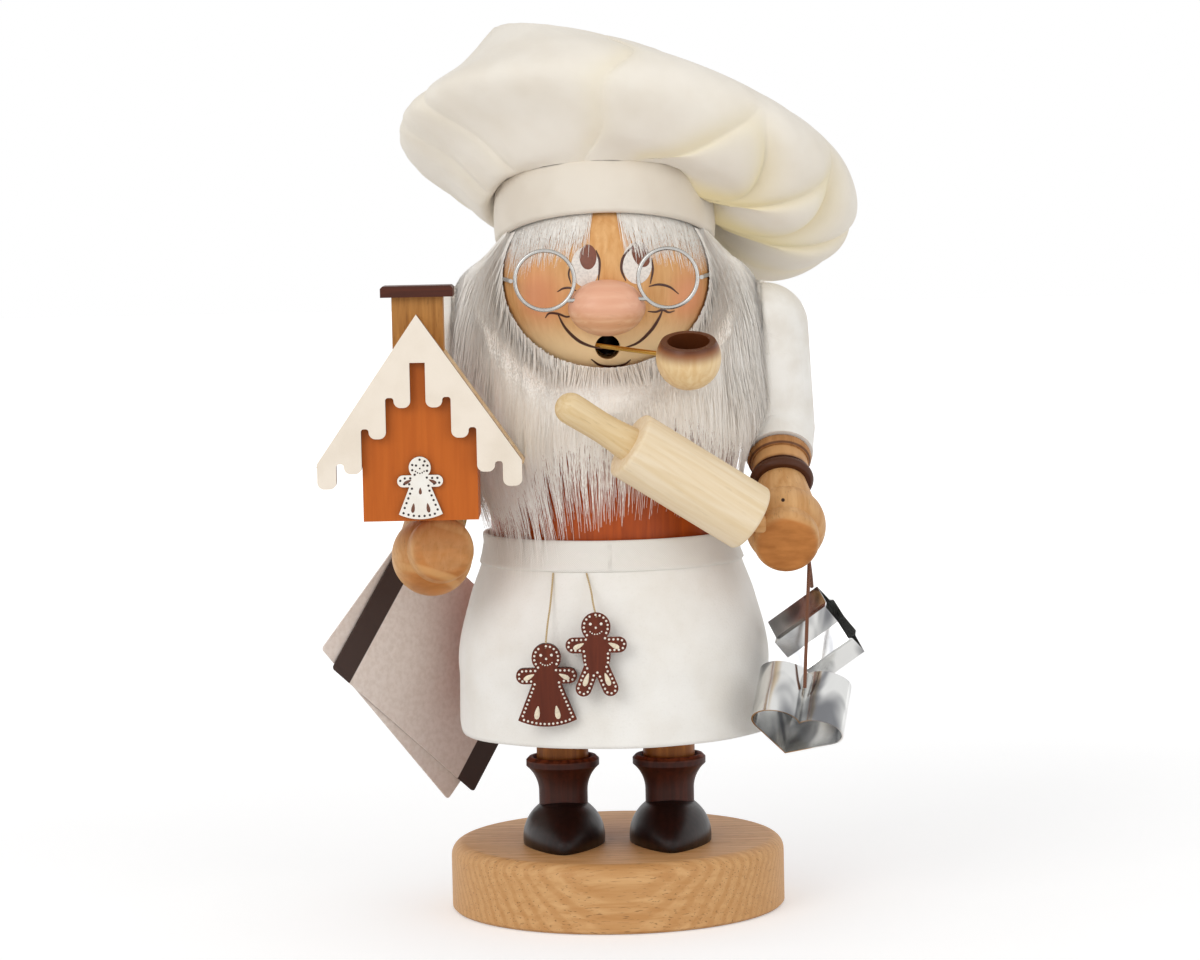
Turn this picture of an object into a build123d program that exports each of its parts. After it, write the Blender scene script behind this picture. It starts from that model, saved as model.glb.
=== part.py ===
from build123d import *
import os
from math import atan, cos, pi, radians, sin, sqrt

os.makedirs("parts", exist_ok=True)

# A turned-wood incense smoker in the shape of a gnome baker.
# Millimetres, +Z up, the figure faces -Y, the origin is the centre of the underside of the base.

# Fits
glue_gap = 0.05
spigot_play = 0.08
cloth_gap = 0.4

# Base
base_diameter = 110.0
base_height = 22.0
base_edge_round = 4.5
base_foot_chamfer = 0.8

# Feet and legs
foot_spacing = 35.0
foot_y = -7.0
shoe_width = 27.0
shoe_toe_reach = 28.5
shoe_axis_height = 1.8
boot_seat_height = 12.0
boot_height = 28.5
boot_waist_diameter = 16.0
boot_waist_height = 5.0
boot_rim_diameter = 24.0
boot_rim_lip = 3.0
boot_cup_diameter = 20.0
boot_cup_depth = 2.5
leg_diameter = 17.0
leg_showing = 7.5
leg_tenon = 8.0
foot_dowel_diameter = 6.0
foot_dowel_base_depth = 10.0
foot_dowel_leg_depth = 8.0

# Lower body, with the spigot that the torso stands over
seat_diameter = 90.4
seat_height = 9.0
seat_edge_round = 6.0
spigot_diameter = 51.0
spigot_height = 14.0
spigot_chamfer = 1.0

# Incense dish and its nail
dish_diameter = 36.0
dish_depth = 3.5
dish_wall = 0.6
nail_diameter = 1.8
nail_head_diameter = 4.5
nail_head_height = 1.0
nail_length = 12.0

# Torso: bell outline, flaring from the seat, then as rise above the seam and radius
torso_height = 110.0
bell_hem_inset = 0.4
bell_seam_flare = 1.8
bell_hip_flare = 4.1
bell_hip_rise = 15.0
bell_stations = [(36, 45.0), (52, 39.8), (70, 40.5), (87, 43.0), (99, 41.0), (106, 33.5)]
neck_radius = 21.5
chamber_height = 84.0
chamber_taper = 10.0
smoke_bore_diameter = 14.0
air_hole_diameter = 5.0
air_hole_rise = 24.0

# Head and face
head_radius = 35.0
head_seat_radius = 20.2
head_bore_depth = 15.0
mouth_diameter = 8.0
mouth_drop = 20.1
nose_width = 24.7
nose_height = 18.0
nose_drop = 7.2
nose_set = 3.2
nose_tip_flat = 0.8

# Spectacles, bent from wire
wire_diameter = 1.3
rim_radius = 9.4
rim_spacing = 39.0
rim_rise = 2.0
rim_standoff = 6.0
bridge_drop = 6.5
temple_inset = 1.8

# Pipe
bowl_radius = 10.3
bowl_place = (25.4, -50.0, -23.0)
bowl_tilt = 20.0
bowl_rim_cut = 5.6
bowl_bore_diameter = 13.4
bowl_bore_depth = 11.0
stem_diameter = 1.5
stem_mouth_x = -2.7
stem_mouth_rise = 0.5
stem_mouth_set = 1.05
stem_head_socket = 6.0
stem_bowl_socket = 3.0

# Cap: band and cloth crown, places measured from the centre of the head
hat_tilt = 17.0
band_rise = 13.5
band_play = 1.0
band_thickness = 2.8
band_height = 18.0
crown_wall = 2.5
crown_pleats = 14
# Each ring: left edge (x, rise), right edge (x, rise), middle y, half depth, backward tilt, pleat swell
crown_rings = [
    ((-55, 34), (60, 6), 6.0, 44.0, 26.0, 2.0),
    ((-69, 50), (81, 22), 9.0, 60.0, 25.0, 3.0),
    ((-59, 67), (73, 40), 11.0, 53.0, 20.0, 2.5),
    ((-35, 81), (41, 62), 12.0, 34.0, 12.0, 1.5),
]

# Fur: hair at the sides and back, tufts on the forehead, beard on the chest
face_split_y = -14.0
fur_hat_gap = 1.6
hair_bulk = 16.0
hair_top_inset = 2.0
hair_tail_inset = 7.0
hair_top_rise = 17.0
hair_fall = 46.0
face_side_inset = 1.2
face_end_inset = 5.3
face_rise = 2.0
tuft_thickness = 2.2
# Each point along the lower edge of a tuft: distance from the middle, rise above the centre of the head
tuft_edge = [(2.5, 20.0), (6.5, 8.0), (15.0, 9.0), (28.0, 2.0)]
tuft_side = 30.0
# Each ring of the beard: rise above the centre of the head, half width, reach to the front
beard_rings = [(8, 45, 32), (-10, 51, 40), (-28, 52, 42), (-55, 52, 44.5), (-79, 44, 43.6)]

# Arms: shoulder, elbow and hand places on each side
shoulder_x = 51.5
shoulder_rise = 13.0
shoulder_radius = 14.5
elbow_radius = 12.5
elbow_step = (3.5, -3.0, -33.0)
sleeve_reach = 12.5
sleeve_end_radius = 11.0
cuff_length = 13.5
cuff_radius = 9.4
cuff_bead = 1.0
wrist_radius = 7.9
hand_radius = 12.9
fist_radius = 10.5
fist_length = 14.0
fist_round = 3.0
hand_steps = {1: (0.7, -33.0, -29.5), -1: (-2.5, -33.0, -36.7)}
fist_directions = {1: (-0.03, -0.936, -0.35), -1: (0.325, -0.904, 0.272)}
arm_dowel_diameter = 5.0
arm_dowel_depth = 8.0
shoulder_dowel_drop = 13.0
shoulder_dowel_length = 17.0

# Gingerbread house on the left hand
house_gap = 0.6
house_shift_x = -2.0
house_back_y = -2.0
house_width = 36.0
house_depth = 23.0
gable_half_span = 32.0
gable_rise = 46.0
gable_apex = 64.6
gable_thickness = 3.0
gable_lip = 0.6
roof_thickness = 3.0
roof_span = 30.0
# Icing drips on one side of the middle: inner edge, outer edge, drop below the apex
icing_drips = [(2.4, 7.6, 29.0), (10.2, 15.6, 38.6), (18.0, 23.6, 49.4), (26.0, 32.0, 54.0)]
icing_notch_rise = 3.2
icing_slot_drop = 15.0
drip_round = 2.2
notch_round = 0.9
chimney_width = 16.0
chimney_depth = 10.0
chimney_rise = 5.2
cap_width = 22.7
cap_depth = 16.0
cap_thickness = 3.5
house_figure_height = 19.6
house_figure_thickness = 1.4
house_peg_diameter = 4.0
house_peg_depth = 9.0
house_peg_place = (1.5, -6.0)

# Rolling pin, in the right fist
pin_direction = (0.8145, 0.220, -0.536)
pin_fist_step = 10.5
pin_fist_gap = 13.6
roller_diameter = 22.0
roller_length = 47.0
roller_round = 1.2
pin_handle_length = 27.0
pin_handle_radius = 5.0
pin_handle_foot = 5.6
pin_peg_diameter = 6.0
pin_peg_depth = 8.0

# Apron
apron_gap = 0.1
apron_thickness = 1.2
apron_hem_drop = 8.0
apron_back_y = 9.0
apron_corner_round = 24.0
apron_top_rise = 51.0
apron_band_height = 10.0
apron_band_top_rise = 57.5
apron_band_thickness = 1.2

# Gingerbread figures on their threads
figure_height = 26.5
figure_thickness = 2.4
thread_diameter = 0.6
thread_socket = 2.0
thread_drop = 0.35
# Each figure: its back face (x, distance in front of the seat, rise above the seam), lean, thread end (x, y)
man_place = (-5.6, 8.4, 22.6)
man_lean = 8.0
man_thread_end = (-8.2, -42.4)
woman_place = (-21.5, 5.0, 13.0)
woman_lean = 0.0
woman_thread_end = (-18.9, -38.9)

# Cookie cutters hung from the right hand, places measured from the centre of the hand
tin_thickness = 0.5
heart_lobe_radius = 8.0
heart_lobe_spacing = 14.0
heart_side_angle = 43.0
heart_depth = 18.0
heart_cusp = (2.8, -13.0, -61.5)
heart_axis = (0.2, 0.58, 0.79)
heart_across = (0.95, 0.02, -0.26)
star_radius = 13.0
star_inner_radius = 8.6
star_depth = 20.0
star_points = 6
star_place = (1.8, 12.0, -43.0)
star_axis = (0.80, -0.15, 0.58)
cutter_cord_diameter = 1.2
heart_cord_ends = [(7.3, -1.6, -11.3), (4.8, -8.8, -51.2)]
star_cord_ends = [(7.3, 0.6, -11.3), (8.7, 10.7, -20.9)]

# Hang tag on the left wrist, places measured from the centre of the hand
tag_length = 77.5
tag_width = 56.5
tag_thickness = 0.5
tag_gap = 0.5
tag_yaw = 44.0
tag_roll = -42.7
tag_fan = 8.0
tag_corner_round = 1.2
tag_hole_diameter = 3.6
tag_hole_place = (-1.8, 53.0, -10.6)
tag_hole_fall = 29.9
tag_cord_diameter = 1.2
tag_cord_route = [
    (-1.55, 51.4, -10.6), (-5.8, 34.0, -1.0), (-8.8, 17.0, 12.5), (-6.6, 8.2, 20.6), (1.3, 5.8, 22.8),
    (9.2, 8.2, 20.6), (11.4, 17.0, 12.5), (6.4, 34.0, -1.0), (-0.25, 52.7, -10.6),
]

# Levels that follow from the sizes above
boot_seat_z = base_height + boot_seat_height
boot_rim_z = base_height + boot_height
leg_bottom_z = boot_rim_z - boot_cup_depth
seat_z = boot_rim_z + leg_showing
seam_z = seat_z + seat_height
spigot_z = seam_z + spigot_height
neck_z = seam_z + torso_height
head_z = neck_z + sqrt(head_radius**2 - head_seat_radius**2)
foot_places = [(-foot_spacing / 2, foot_y), (foot_spacing / 2, foot_y)]
seat_radius = seat_diameter / 2
bell_outline = [
    (-seat_height, seat_radius - bell_hem_inset), (0, seat_radius + bell_seam_flare),
    (bell_hip_rise, seat_radius + bell_hip_flare), *bell_stations, (torso_height, neck_radius),
]
head_centre = Vector(0, 0, head_z)
band_radius = head_radius + band_play
hair_radius = head_radius + hair_bulk
rim_y = -head_radius - rim_standoff
temple_side = head_radius - temple_inset


def save(piece, name):
    piece.part.label = name
    export_step(piece.part, f"parts/{name}.step")


def turning_plane(start, end):
    """Plane with its X axis along start to end, for an outline that is turned about that line."""
    run = Vector(*end) - Vector(*start)
    return Plane(origin=start, x_dir=run, z_dir=run.cross(Vector(0, 0, 1)))


def turning_axis(plane):
    return Axis(plane.origin, plane.x_dir)


def upright(x, y):
    """Vertical plane through (x, y) that looks to the front, with its own Y axis upwards."""
    return Plane(origin=(x, y, 0), x_dir=(1, 0, 0), z_dir=(0, -1, 0))


def rod(start, end, diameter):
    """Round rod between two points, kept apart from the piece being built."""
    run = Vector(*end) - Vector(*start)
    with BuildPart(mode=Mode.PRIVATE) as shaft:
        with BuildSketch(Plane(origin=start, z_dir=run)):
            Circle(diameter / 2)
        extrude(amount=run.length)
    return shaft.part


def bell(extra, low, high):
    """Body of the torso's bell outline, grown outwards by extra, between two levels."""
    with BuildPart(mode=Mode.PRIVATE) as body:
        with BuildSketch(Plane.XZ):
            with BuildLine():
                side = Spline(*[(radius + extra, seam_z + rise) for rise, radius in bell_outline])
                Polyline(side @ 1, (0, (side @ 1).Y), (0, (side @ 0).Y), side @ 0)
            make_face()
        revolve(axis=Axis.Z)
        with BuildSketch(Plane.XY.offset(low)):
            Circle(base_diameter)
        extrude(amount=high - low, mode=Mode.INTERSECT)
    return body.part


def ball(centre, radius):
    with BuildPart(mode=Mode.PRIVATE) as sphere:
        with Locations(centre):
            Sphere(radius)
    return sphere.part


# Base
with BuildPart() as base_disc:
    Cylinder(base_diameter / 2, base_height, align=(Align.CENTER, Align.CENTER, Align.MIN))
    fillet(base_disc.faces().sort_by(Axis.Z)[-1].edges(), base_edge_round)
    chamfer(base_disc.faces().sort_by(Axis.Z)[0].edges(), base_foot_chamfer)
    with BuildSketch(Plane.XY.offset(base_height)):
        with Locations(*foot_places):
            Circle(foot_dowel_diameter / 2 + glue_gap)
    extrude(amount=-foot_dowel_base_depth, mode=Mode.SUBTRACT)
save(base_disc, "base_disc")

# Dowels that run from the base through shoe and boot into each leg
foot_dowel_bottom = base_height - foot_dowel_base_depth
with BuildPart() as boot_dowels:
    with BuildSketch(Plane.XY.offset(foot_dowel_bottom)):
        with Locations(*foot_places):
            Circle(foot_dowel_diameter / 2)
    extrude(amount=leg_bottom_z + foot_dowel_leg_depth - foot_dowel_bottom)
save(boot_dowels, "boot_dowels")


# Shoes, boot shafts and legs
def build_shoe(x, name):
    axis_z = base_height + shoe_axis_height
    half_width = shoe_width / 2
    side_point = (x + half_width, foot_y)
    heel_point = (x, foot_y + half_width)
    toe_point = (x, foot_y - shoe_toe_reach)
    toe_middle = (x + 0.74 * half_width, foot_y - shoe_toe_reach / 2)
    with BuildPart() as shoe:
        with BuildSketch(Plane.XY.offset(axis_z)):
            with BuildLine():
                Spline(side_point, toe_middle, toe_point, tangents=[(0, -1), (-1, -0.9)])
                CenterArc((x, foot_y), half_width, 0, 90)
                Line(toe_point, heel_point)
            make_face()
        revolve(axis=Axis((x, 0, axis_z), (0, 1, 0)))
        split(bisect_by=Plane.XY.offset(base_height), keep=Keep.TOP)
        with BuildSketch(Plane.XY.offset(boot_seat_z)):
            with Locations((x, foot_y)):
                Circle(boot_waist_diameter / 2 + glue_gap)
        extrude(amount=boot_height, mode=Mode.SUBTRACT)
        with BuildSketch(Plane.XY.offset(base_height)):
            with Locations((x, foot_y)):
                Circle(foot_dowel_diameter / 2 + glue_gap)
        extrude(amount=boot_height, mode=Mode.SUBTRACT)
    save(shoe, name)


def build_boot_shaft(x, name):
    waist = boot_waist_diameter / 2
    rim = boot_rim_diameter / 2
    cup = boot_cup_diameter / 2
    flare_z = boot_rim_z - boot_rim_lip
    cup_floor = leg_diameter / 2 + cloth_gap
    with BuildPart() as shaft:
        with BuildSketch(upright(x, foot_y)):
            with BuildLine():
                neck = Line((waist, boot_seat_z), (waist, boot_seat_z + boot_waist_height))
                TangentArc(neck @ 1, (rim, flare_z), tangent=(0, 1))
                Polyline(
                    (rim, flare_z), (rim, boot_rim_z - boot_rim_lip / 3), (rim - boot_rim_lip / 3, boot_rim_z),
                    (cup, boot_rim_z), (cup_floor, leg_bottom_z), (0, leg_bottom_z), (0, boot_seat_z), neck @ 0,
                )
            make_face()
        revolve(axis=Axis((x, foot_y, 0), (0, 0, 1)))
        with BuildSketch(Plane.XY.offset(boot_seat_z)):
            with Locations((x, foot_y)):
                Circle(foot_dowel_diameter / 2 + glue_gap)
        extrude(amount=boot_height, mode=Mode.SUBTRACT)
    save(shaft, name)


def build_leg(x, name):
    with BuildPart() as leg:
        with BuildSketch(Plane.XY.offset(leg_bottom_z)):
            with Locations((x, foot_y)):
                Circle(leg_diameter / 2)
        extrude(amount=seat_z + leg_tenon - leg_bottom_z)
        with BuildSketch(Plane.XY.offset(leg_bottom_z)):
            with Locations((x, foot_y)):
                Circle(foot_dowel_diameter / 2 + glue_gap)
        extrude(amount=foot_dowel_leg_depth, mode=Mode.SUBTRACT)
    save(leg, name)


for side, word in ((-1, "left"), (1, "right")):
    foot_x = side * foot_spacing / 2
    build_shoe(foot_x, f"shoe_{word}")
    build_boot_shaft(foot_x, f"boot_shaft_{word}")
    build_leg(foot_x, f"leg_{word}")

# Lower body with its spigot
with BuildPart() as lower_body:
    with BuildSketch(Plane.XY.offset(seat_z)):
        Circle(seat_diameter / 2)
    extrude(amount=seat_height)
    fillet(lower_body.faces().sort_by(Axis.Z)[0].edges(), seat_edge_round)
    with BuildSketch(Plane.XY.offset(seam_z)):
        Circle(spigot_diameter / 2)
    extrude(amount=spigot_height)
    chamfer(lower_body.faces().sort_by(Axis.Z)[-1].edges(), spigot_chamfer)
    with BuildSketch(Plane.XY.offset(seat_z)):
        with Locations(*foot_places):
            Circle(leg_diameter / 2 + glue_gap)
    extrude(amount=leg_tenon, mode=Mode.SUBTRACT)
    with BuildSketch(Plane.XY.offset(spigot_z)):
        Circle(nail_diameter / 2 + glue_gap)
    extrude(amount=-nail_length, mode=Mode.SUBTRACT)
save(lower_body, "lower_body")

# Incense dish: a shallow stamped bowl with a flat floor
with BuildPart() as incense_dish:
    with BuildSketch(Plane.XZ):
        with BuildLine():
            rim_r = dish_diameter / 2
            floor_r = rim_r - dish_depth
            Polyline(
                (0, spigot_z), (floor_r, spigot_z), (rim_r, spigot_z + dish_depth),
                (rim_r - dish_wall, spigot_z + dish_depth), (floor_r - dish_wall, spigot_z + dish_wall),
                (0, spigot_z + dish_wall), (0, spigot_z),
            )
        make_face()
    revolve(axis=Axis.Z)
    with BuildSketch(Plane.XY.offset(spigot_z)):
        Circle(nail_diameter / 2 + glue_gap)
    extrude(amount=dish_depth, mode=Mode.SUBTRACT)
save(incense_dish, "incense_dish")

# Nail through the dish into the spigot
with BuildPart() as dish_nail:
    with BuildSketch(Plane.XY.offset(spigot_z + dish_wall)):
        Circle(nail_diameter / 2)
    extrude(amount=-(nail_length - dish_wall))
    with BuildSketch(Plane.XY.offset(spigot_z + dish_wall)):
        Circle(nail_head_diameter / 2)
    extrude(amount=nail_head_height)
    fillet(dish_nail.faces().sort_by(Axis.Z)[-1].edges(), nail_head_height / 2)
save(dish_nail, "dish_nail")

# Torso: hollow bell with a tapered top to the smoke bore
chamber_radius = spigot_diameter / 2 + spigot_play
chamber_top = seam_z + chamber_height
shoulder_dowel_z = neck_z - shoulder_dowel_drop
shoulder_dowel_out = shoulder_x + elbow_step[0] / 2
shoulder_dowel_in = shoulder_dowel_out - shoulder_dowel_length


def shoulder_dowel(side, play):
    inner_end = (side * shoulder_dowel_in, 0, shoulder_dowel_z)
    outer_end = (side * shoulder_dowel_out, 0, shoulder_dowel_z)
    return rod(inner_end, outer_end, arm_dowel_diameter + 2 * play)


with BuildPart() as torso:
    add(bell(0, seam_z, neck_z))
    with BuildSketch(Plane.XZ):
        with BuildLine():
            Polyline(
                (0, seam_z), (chamber_radius, seam_z), (chamber_radius, chamber_top),
                (smoke_bore_diameter / 2, chamber_top + chamber_taper), (smoke_bore_diameter / 2, neck_z),
                (0, neck_z), (0, seam_z),
            )
        make_face()
    revolve(axis=Axis.Z, mode=Mode.SUBTRACT)
    with BuildSketch(Plane.XZ):
        with Locations((0, seam_z + air_hole_rise)):
            Circle(air_hole_diameter / 2)
    extrude(amount=-base_diameter / 2, mode=Mode.SUBTRACT)
    for side in (-1, 1):
        add(shoulder_dowel(side, glue_gap), mode=Mode.SUBTRACT)
save(torso, "torso")

# Run of the pipe stem, from the wood beside the mouth hole to the wall of the bowl
mouth_z = head_z - mouth_drop
bowl_centre = head_centre + Vector(*bowl_place)
stem_mouth_y = stem_mouth_set - sqrt(head_radius**2 - mouth_drop**2)
stem_mouth_point = Vector(stem_mouth_x, stem_mouth_y, mouth_z + stem_mouth_rise)
stem_run = (bowl_centre - stem_mouth_point).normalized()
stem_inner_end = stem_mouth_point - stem_run * stem_head_socket
stem_outer_end = bowl_centre - stem_run * (bowl_radius - stem_bowl_socket)

# Head: bored ball, flat where it sits on the neck
with BuildPart() as head:
    add(ball(head_centre, head_radius))
    split(bisect_by=Plane.XY.offset(neck_z), keep=Keep.TOP)
    with BuildSketch(Plane.XY.offset(neck_z)):
        Circle(smoke_bore_diameter / 2)
    extrude(amount=head_bore_depth, mode=Mode.SUBTRACT)
    with BuildSketch(Plane.XZ):
        with Locations((0, mouth_z)):
            Circle(mouth_diameter / 2)
    extrude(amount=head_radius, mode=Mode.SUBTRACT)
    add(rod(stem_inner_end, stem_outer_end, stem_diameter + 2 * glue_gap), mode=Mode.SUBTRACT)
save(head, "head")

# Nose: oval bead that seats on the head, bored for the bridge of the spectacles
nose_z = head_z - nose_drop
nose_y = -sqrt(head_radius**2 - nose_drop**2) - nose_set
bridge_z = head_z + rim_rise - bridge_drop
bridge_half = rim_spacing / 2 - sqrt(rim_radius**2 - bridge_drop**2)
bridge_ends = [(-bridge_half, rim_y, bridge_z), (bridge_half, rim_y, bridge_z)]
with BuildPart() as nose:
    with BuildSketch(Plane.XY.offset(nose_z)):
        with BuildLine():
            left_end = (-nose_width / 2, nose_y - nose_tip_flat)
            right_end = (nose_width / 2, nose_y - nose_tip_flat)
            cheek_x = nose_width / 2 * cos(pi / 4)
            cheek_y = nose_y - nose_height / 2 * sin(pi / 4)
            Spline(left_end, (-cheek_x, cheek_y), (0, nose_y - nose_height / 2), (cheek_x, cheek_y), right_end)
            Polyline(left_end, (-nose_width / 2, nose_y), (nose_width / 2, nose_y), right_end)
        make_face()
    revolve(axis=Axis((0, nose_y, nose_z), (1, 0, 0)))
    add(ball(head_centre, head_radius + glue_gap), mode=Mode.SUBTRACT)
    add(rod(*bridge_ends, wire_diameter + 2 * glue_gap), mode=Mode.SUBTRACT)
save(nose, "nose")

# Spectacles: two wire rims with a bridge, and a temple at each side
rim_z = head_z + rim_rise
with BuildPart() as spectacle_frame:
    with Locations(Plane.XZ.offset(-rim_y)):
        with Locations((-rim_spacing / 2, rim_z), (rim_spacing / 2, rim_z)):
            Torus(rim_radius, wire_diameter / 2)
    add(rod(*bridge_ends, wire_diameter))
save(spectacle_frame, "spectacle_frame")

temple_y = -sqrt(head_radius**2 - temple_side**2 - rim_rise**2)
temple_start_x = rim_spacing / 2 + rim_radius + wire_diameter


def temple_ends(side):
    return (side * temple_start_x, rim_y, rim_z), (side * temple_side, temple_y, rim_z)


with BuildPart() as spectacle_temples:
    for side in (-1, 1):
        add(rod(*temple_ends(side), wire_diameter))
    add(ball(head_centre, head_radius + glue_gap), mode=Mode.SUBTRACT)
save(spectacle_temples, "spectacle_temples")

# Pipe: wire stem from the mouth to a turned bowl
bowl_up = Vector(0, -sin(radians(bowl_tilt)), cos(radians(bowl_tilt)))
bowl_plane = turning_plane(bowl_centre, bowl_centre + bowl_up)
bowl_rim_radius = sqrt(bowl_radius**2 - bowl_rim_cut**2)
bowl_floor = bowl_rim_cut - bowl_bore_depth
with BuildPart() as pipe_bowl:
    with BuildSketch(bowl_plane):
        with BuildLine():
            bore_r = bowl_bore_diameter / 2
            ThreePointArc((-bowl_radius, 0), (0, bowl_radius), (bowl_rim_cut, bowl_rim_radius))
            Polyline(
                (bowl_rim_cut, bowl_rim_radius), (bowl_rim_cut, bore_r), (bowl_floor + bore_r / 2, bore_r),
                (bowl_floor, bore_r / 2), (bowl_floor, 0), (-bowl_radius, 0),
            )
        make_face()
    revolve(axis=turning_axis(bowl_plane))
    add(rod(stem_inner_end, stem_outer_end, stem_diameter + 2 * glue_gap), mode=Mode.SUBTRACT)
save(pipe_bowl, "pipe_bowl")
with BuildPart() as pipe_stem:
    add(rod(stem_inner_end, stem_outer_end, stem_diameter))
save(pipe_stem, "pipe_stem")

# Cap band
hat_up = Vector(0, sin(radians(hat_tilt)), cos(radians(hat_tilt)))
band_plane = Plane(origin=head_centre + hat_up * band_rise, x_dir=(1, 0, 0), z_dir=hat_up)
with BuildPart() as hat_band:
    with BuildSketch(band_plane):
        Circle(band_radius)
        Circle(band_radius - band_thickness, mode=Mode.SUBTRACT)
    extrude(amount=band_height)
save(hat_band, "hat_band")


# Cap crown: a pleated bag that slumps to the right and to the back
def pleated_ring(half_width, half_depth, swell):
    with BuildLine(mode=Mode.PRIVATE) as ring:
        for i in range(crown_pleats):
            start, middle, end = [2 * pi * (i + step) / crown_pleats for step in (0, 0.5, 1)]
            ThreePointArc(
                (half_width * cos(start), half_depth * sin(start)),
                ((half_width + swell) * cos(middle), (half_depth + swell) * sin(middle)),
                (half_width * cos(end), half_depth * sin(end)),
            )
    return ring.edges()


def crown_plane(ring):
    """Plane of one ring of the crown, and half of the ring's width."""
    left, right, middle_y, _, tilt, _ = ring
    across = Vector(right[0] - left[0], 0, right[1] - left[1]) / 2
    middle = head_centre + Vector((left[0] + right[0]) / 2, middle_y, (left[1] + right[1]) / 2)
    backward = Vector(0, cos(radians(tilt)), -sin(radians(tilt)))
    return Plane(origin=middle, x_dir=across, z_dir=across.cross(backward)), across.length


def crown_bag(inset):
    with BuildPart(mode=Mode.PRIVATE) as bag:
        with BuildSketch(band_plane.offset(band_height)):
            make_face(pleated_ring(band_radius - inset, band_radius - inset, band_thickness / 8))
        for ring in crown_rings:
            ring_plane, half_width = crown_plane(ring)
            half_depth, swell = ring[3], ring[5]
            if ring == crown_rings[-1]:
                ring_plane = ring_plane.offset(-inset)
            with BuildSketch(ring_plane):
                make_face(pleated_ring(half_width - inset, half_depth - inset, swell))
        loft()
    return bag.part


with BuildPart() as hat_crown:
    add(crown_bag(0))
    add(crown_bag(crown_wall), mode=Mode.SUBTRACT)
    with BuildSketch(band_plane):
        Circle(band_radius + glue_gap)
    extrude(amount=band_height, mode=Mode.SUBTRACT)
save(hat_crown, "hat_crown")


# Arms
def limb(start, end, start_radius, end_radius):
    """Round-ended tapered limb between two points."""
    plane = turning_plane(start, end)
    length = (end - start).length
    with BuildPart(mode=Mode.PRIVATE) as body:
        with BuildSketch(plane):
            with BuildLine():
                first = CenterArc((0, 0), start_radius, 90, 90)
                last = CenterArc((length, 0), end_radius, 0, 90)
                Line(first @ 0, last @ 1)
                Line(first @ 1, last @ 0)
            make_face()
        revolve(axis=turning_axis(plane))
    return body.part


def arm_places(side):
    shoulder = Vector(side * shoulder_x, 0, neck_z + shoulder_rise)
    elbow = shoulder + Vector(side * elbow_step[0], elbow_step[1], elbow_step[2])
    hand = elbow + Vector(*hand_steps[side])
    return shoulder, elbow, hand


def wrist_dowel(side, play):
    _, elbow, hand = arm_places(side)
    along = (hand - elbow).normalized()
    first = elbow + along * (sleeve_reach - arm_dowel_depth)
    last = elbow + along * (sleeve_reach + cuff_length + arm_dowel_depth)
    return rod(first, last, arm_dowel_diameter + 2 * play)


def build_sleeve(side, name):
    shoulder, elbow, hand = arm_places(side)
    forearm = turning_plane(elbow, hand)
    with BuildPart() as sleeve:
        add(limb(shoulder, elbow, shoulder_radius, elbow_radius))
        with BuildSketch(forearm):
            with BuildLine():
                Polyline((0, 0), (0, elbow_radius), (sleeve_reach, sleeve_end_radius), (sleeve_reach, 0), close=True)
            make_face()
        revolve(axis=turning_axis(forearm))
        add(bell(glue_gap, seam_z, neck_z), mode=Mode.SUBTRACT)
        add(shoulder_dowel(side, glue_gap), mode=Mode.SUBTRACT)
        add(wrist_dowel(side, glue_gap), mode=Mode.SUBTRACT)
    save(sleeve, name)


def build_cuff(side, name):
    _, elbow, hand = arm_places(side)
    forearm = turning_plane(elbow, hand)
    start = sleeve_reach
    end = sleeve_reach + cuff_length
    bead = 4 * cuff_bead
    with BuildPart() as cuff:
        with BuildSketch(forearm):
            with BuildLine():
                ThreePointArc(
                    (start, cuff_radius), (start + bead / 2, cuff_radius + cuff_bead), (start + bead, cuff_radius)
                )
                Polyline(
                    (start + bead, cuff_radius), (start + bead, cuff_radius - cuff_bead / 2),
                    (end - bead, cuff_radius), (end - bead, cuff_radius - cuff_bead / 2),
                    (end - bead + cuff_bead / 2, cuff_radius),
                )
                ThreePointArc(
                    (end - bead + cuff_bead / 2, cuff_radius), (end - bead / 2, cuff_radius + cuff_bead),
                    (end, cuff_radius),
                )
                Polyline((end, cuff_radius), (end, 0), (start, 0), (start, cuff_radius))
            make_face()
        revolve(axis=turning_axis(forearm))
        add(wrist_dowel(side, glue_gap), mode=Mode.SUBTRACT)
    save(cuff, name)


def build_hand(side, name, socket):
    _, elbow, hand = arm_places(side)
    forearm = turning_plane(elbow, hand)
    wrist = sleeve_reach + cuff_length
    reach = (hand - elbow).length
    fist = turning_plane(hand, hand + Vector(*fist_directions[side]))
    with BuildPart() as piece:
        add(ball(hand, hand_radius))
        with BuildSketch(forearm):
            with BuildLine():
                Polyline((wrist, 0), (wrist, wrist_radius), (reach, hand_radius - cuff_bead), (reach, 0), close=True)
            make_face()
        revolve(axis=turning_axis(forearm))
        with BuildSketch(fist):
            with BuildLine():
                Polyline((0, 0), (0, fist_radius), (fist_length - fist_round, fist_radius))
                TangentArc(
                    (fist_length - fist_round, fist_radius), (fist_length, fist_radius - fist_round), tangent=(1, 0)
                )
                Polyline((fist_length, fist_radius - fist_round), (fist_length, 0), (0, 0))
            make_face()
        revolve(axis=turning_axis(fist))
        add(wrist_dowel(side, glue_gap), mode=Mode.SUBTRACT)
        add(socket, mode=Mode.SUBTRACT)
    save(piece, name)


with BuildPart() as shoulder_dowels:
    for side in (-1, 1):
        add(shoulder_dowel(side, 0))
save(shoulder_dowels, "shoulder_dowels")

with BuildPart() as wrist_dowels:
    for side in (-1, 1):
        add(wrist_dowel(side, 0))
save(wrist_dowels, "wrist_dowels")

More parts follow.
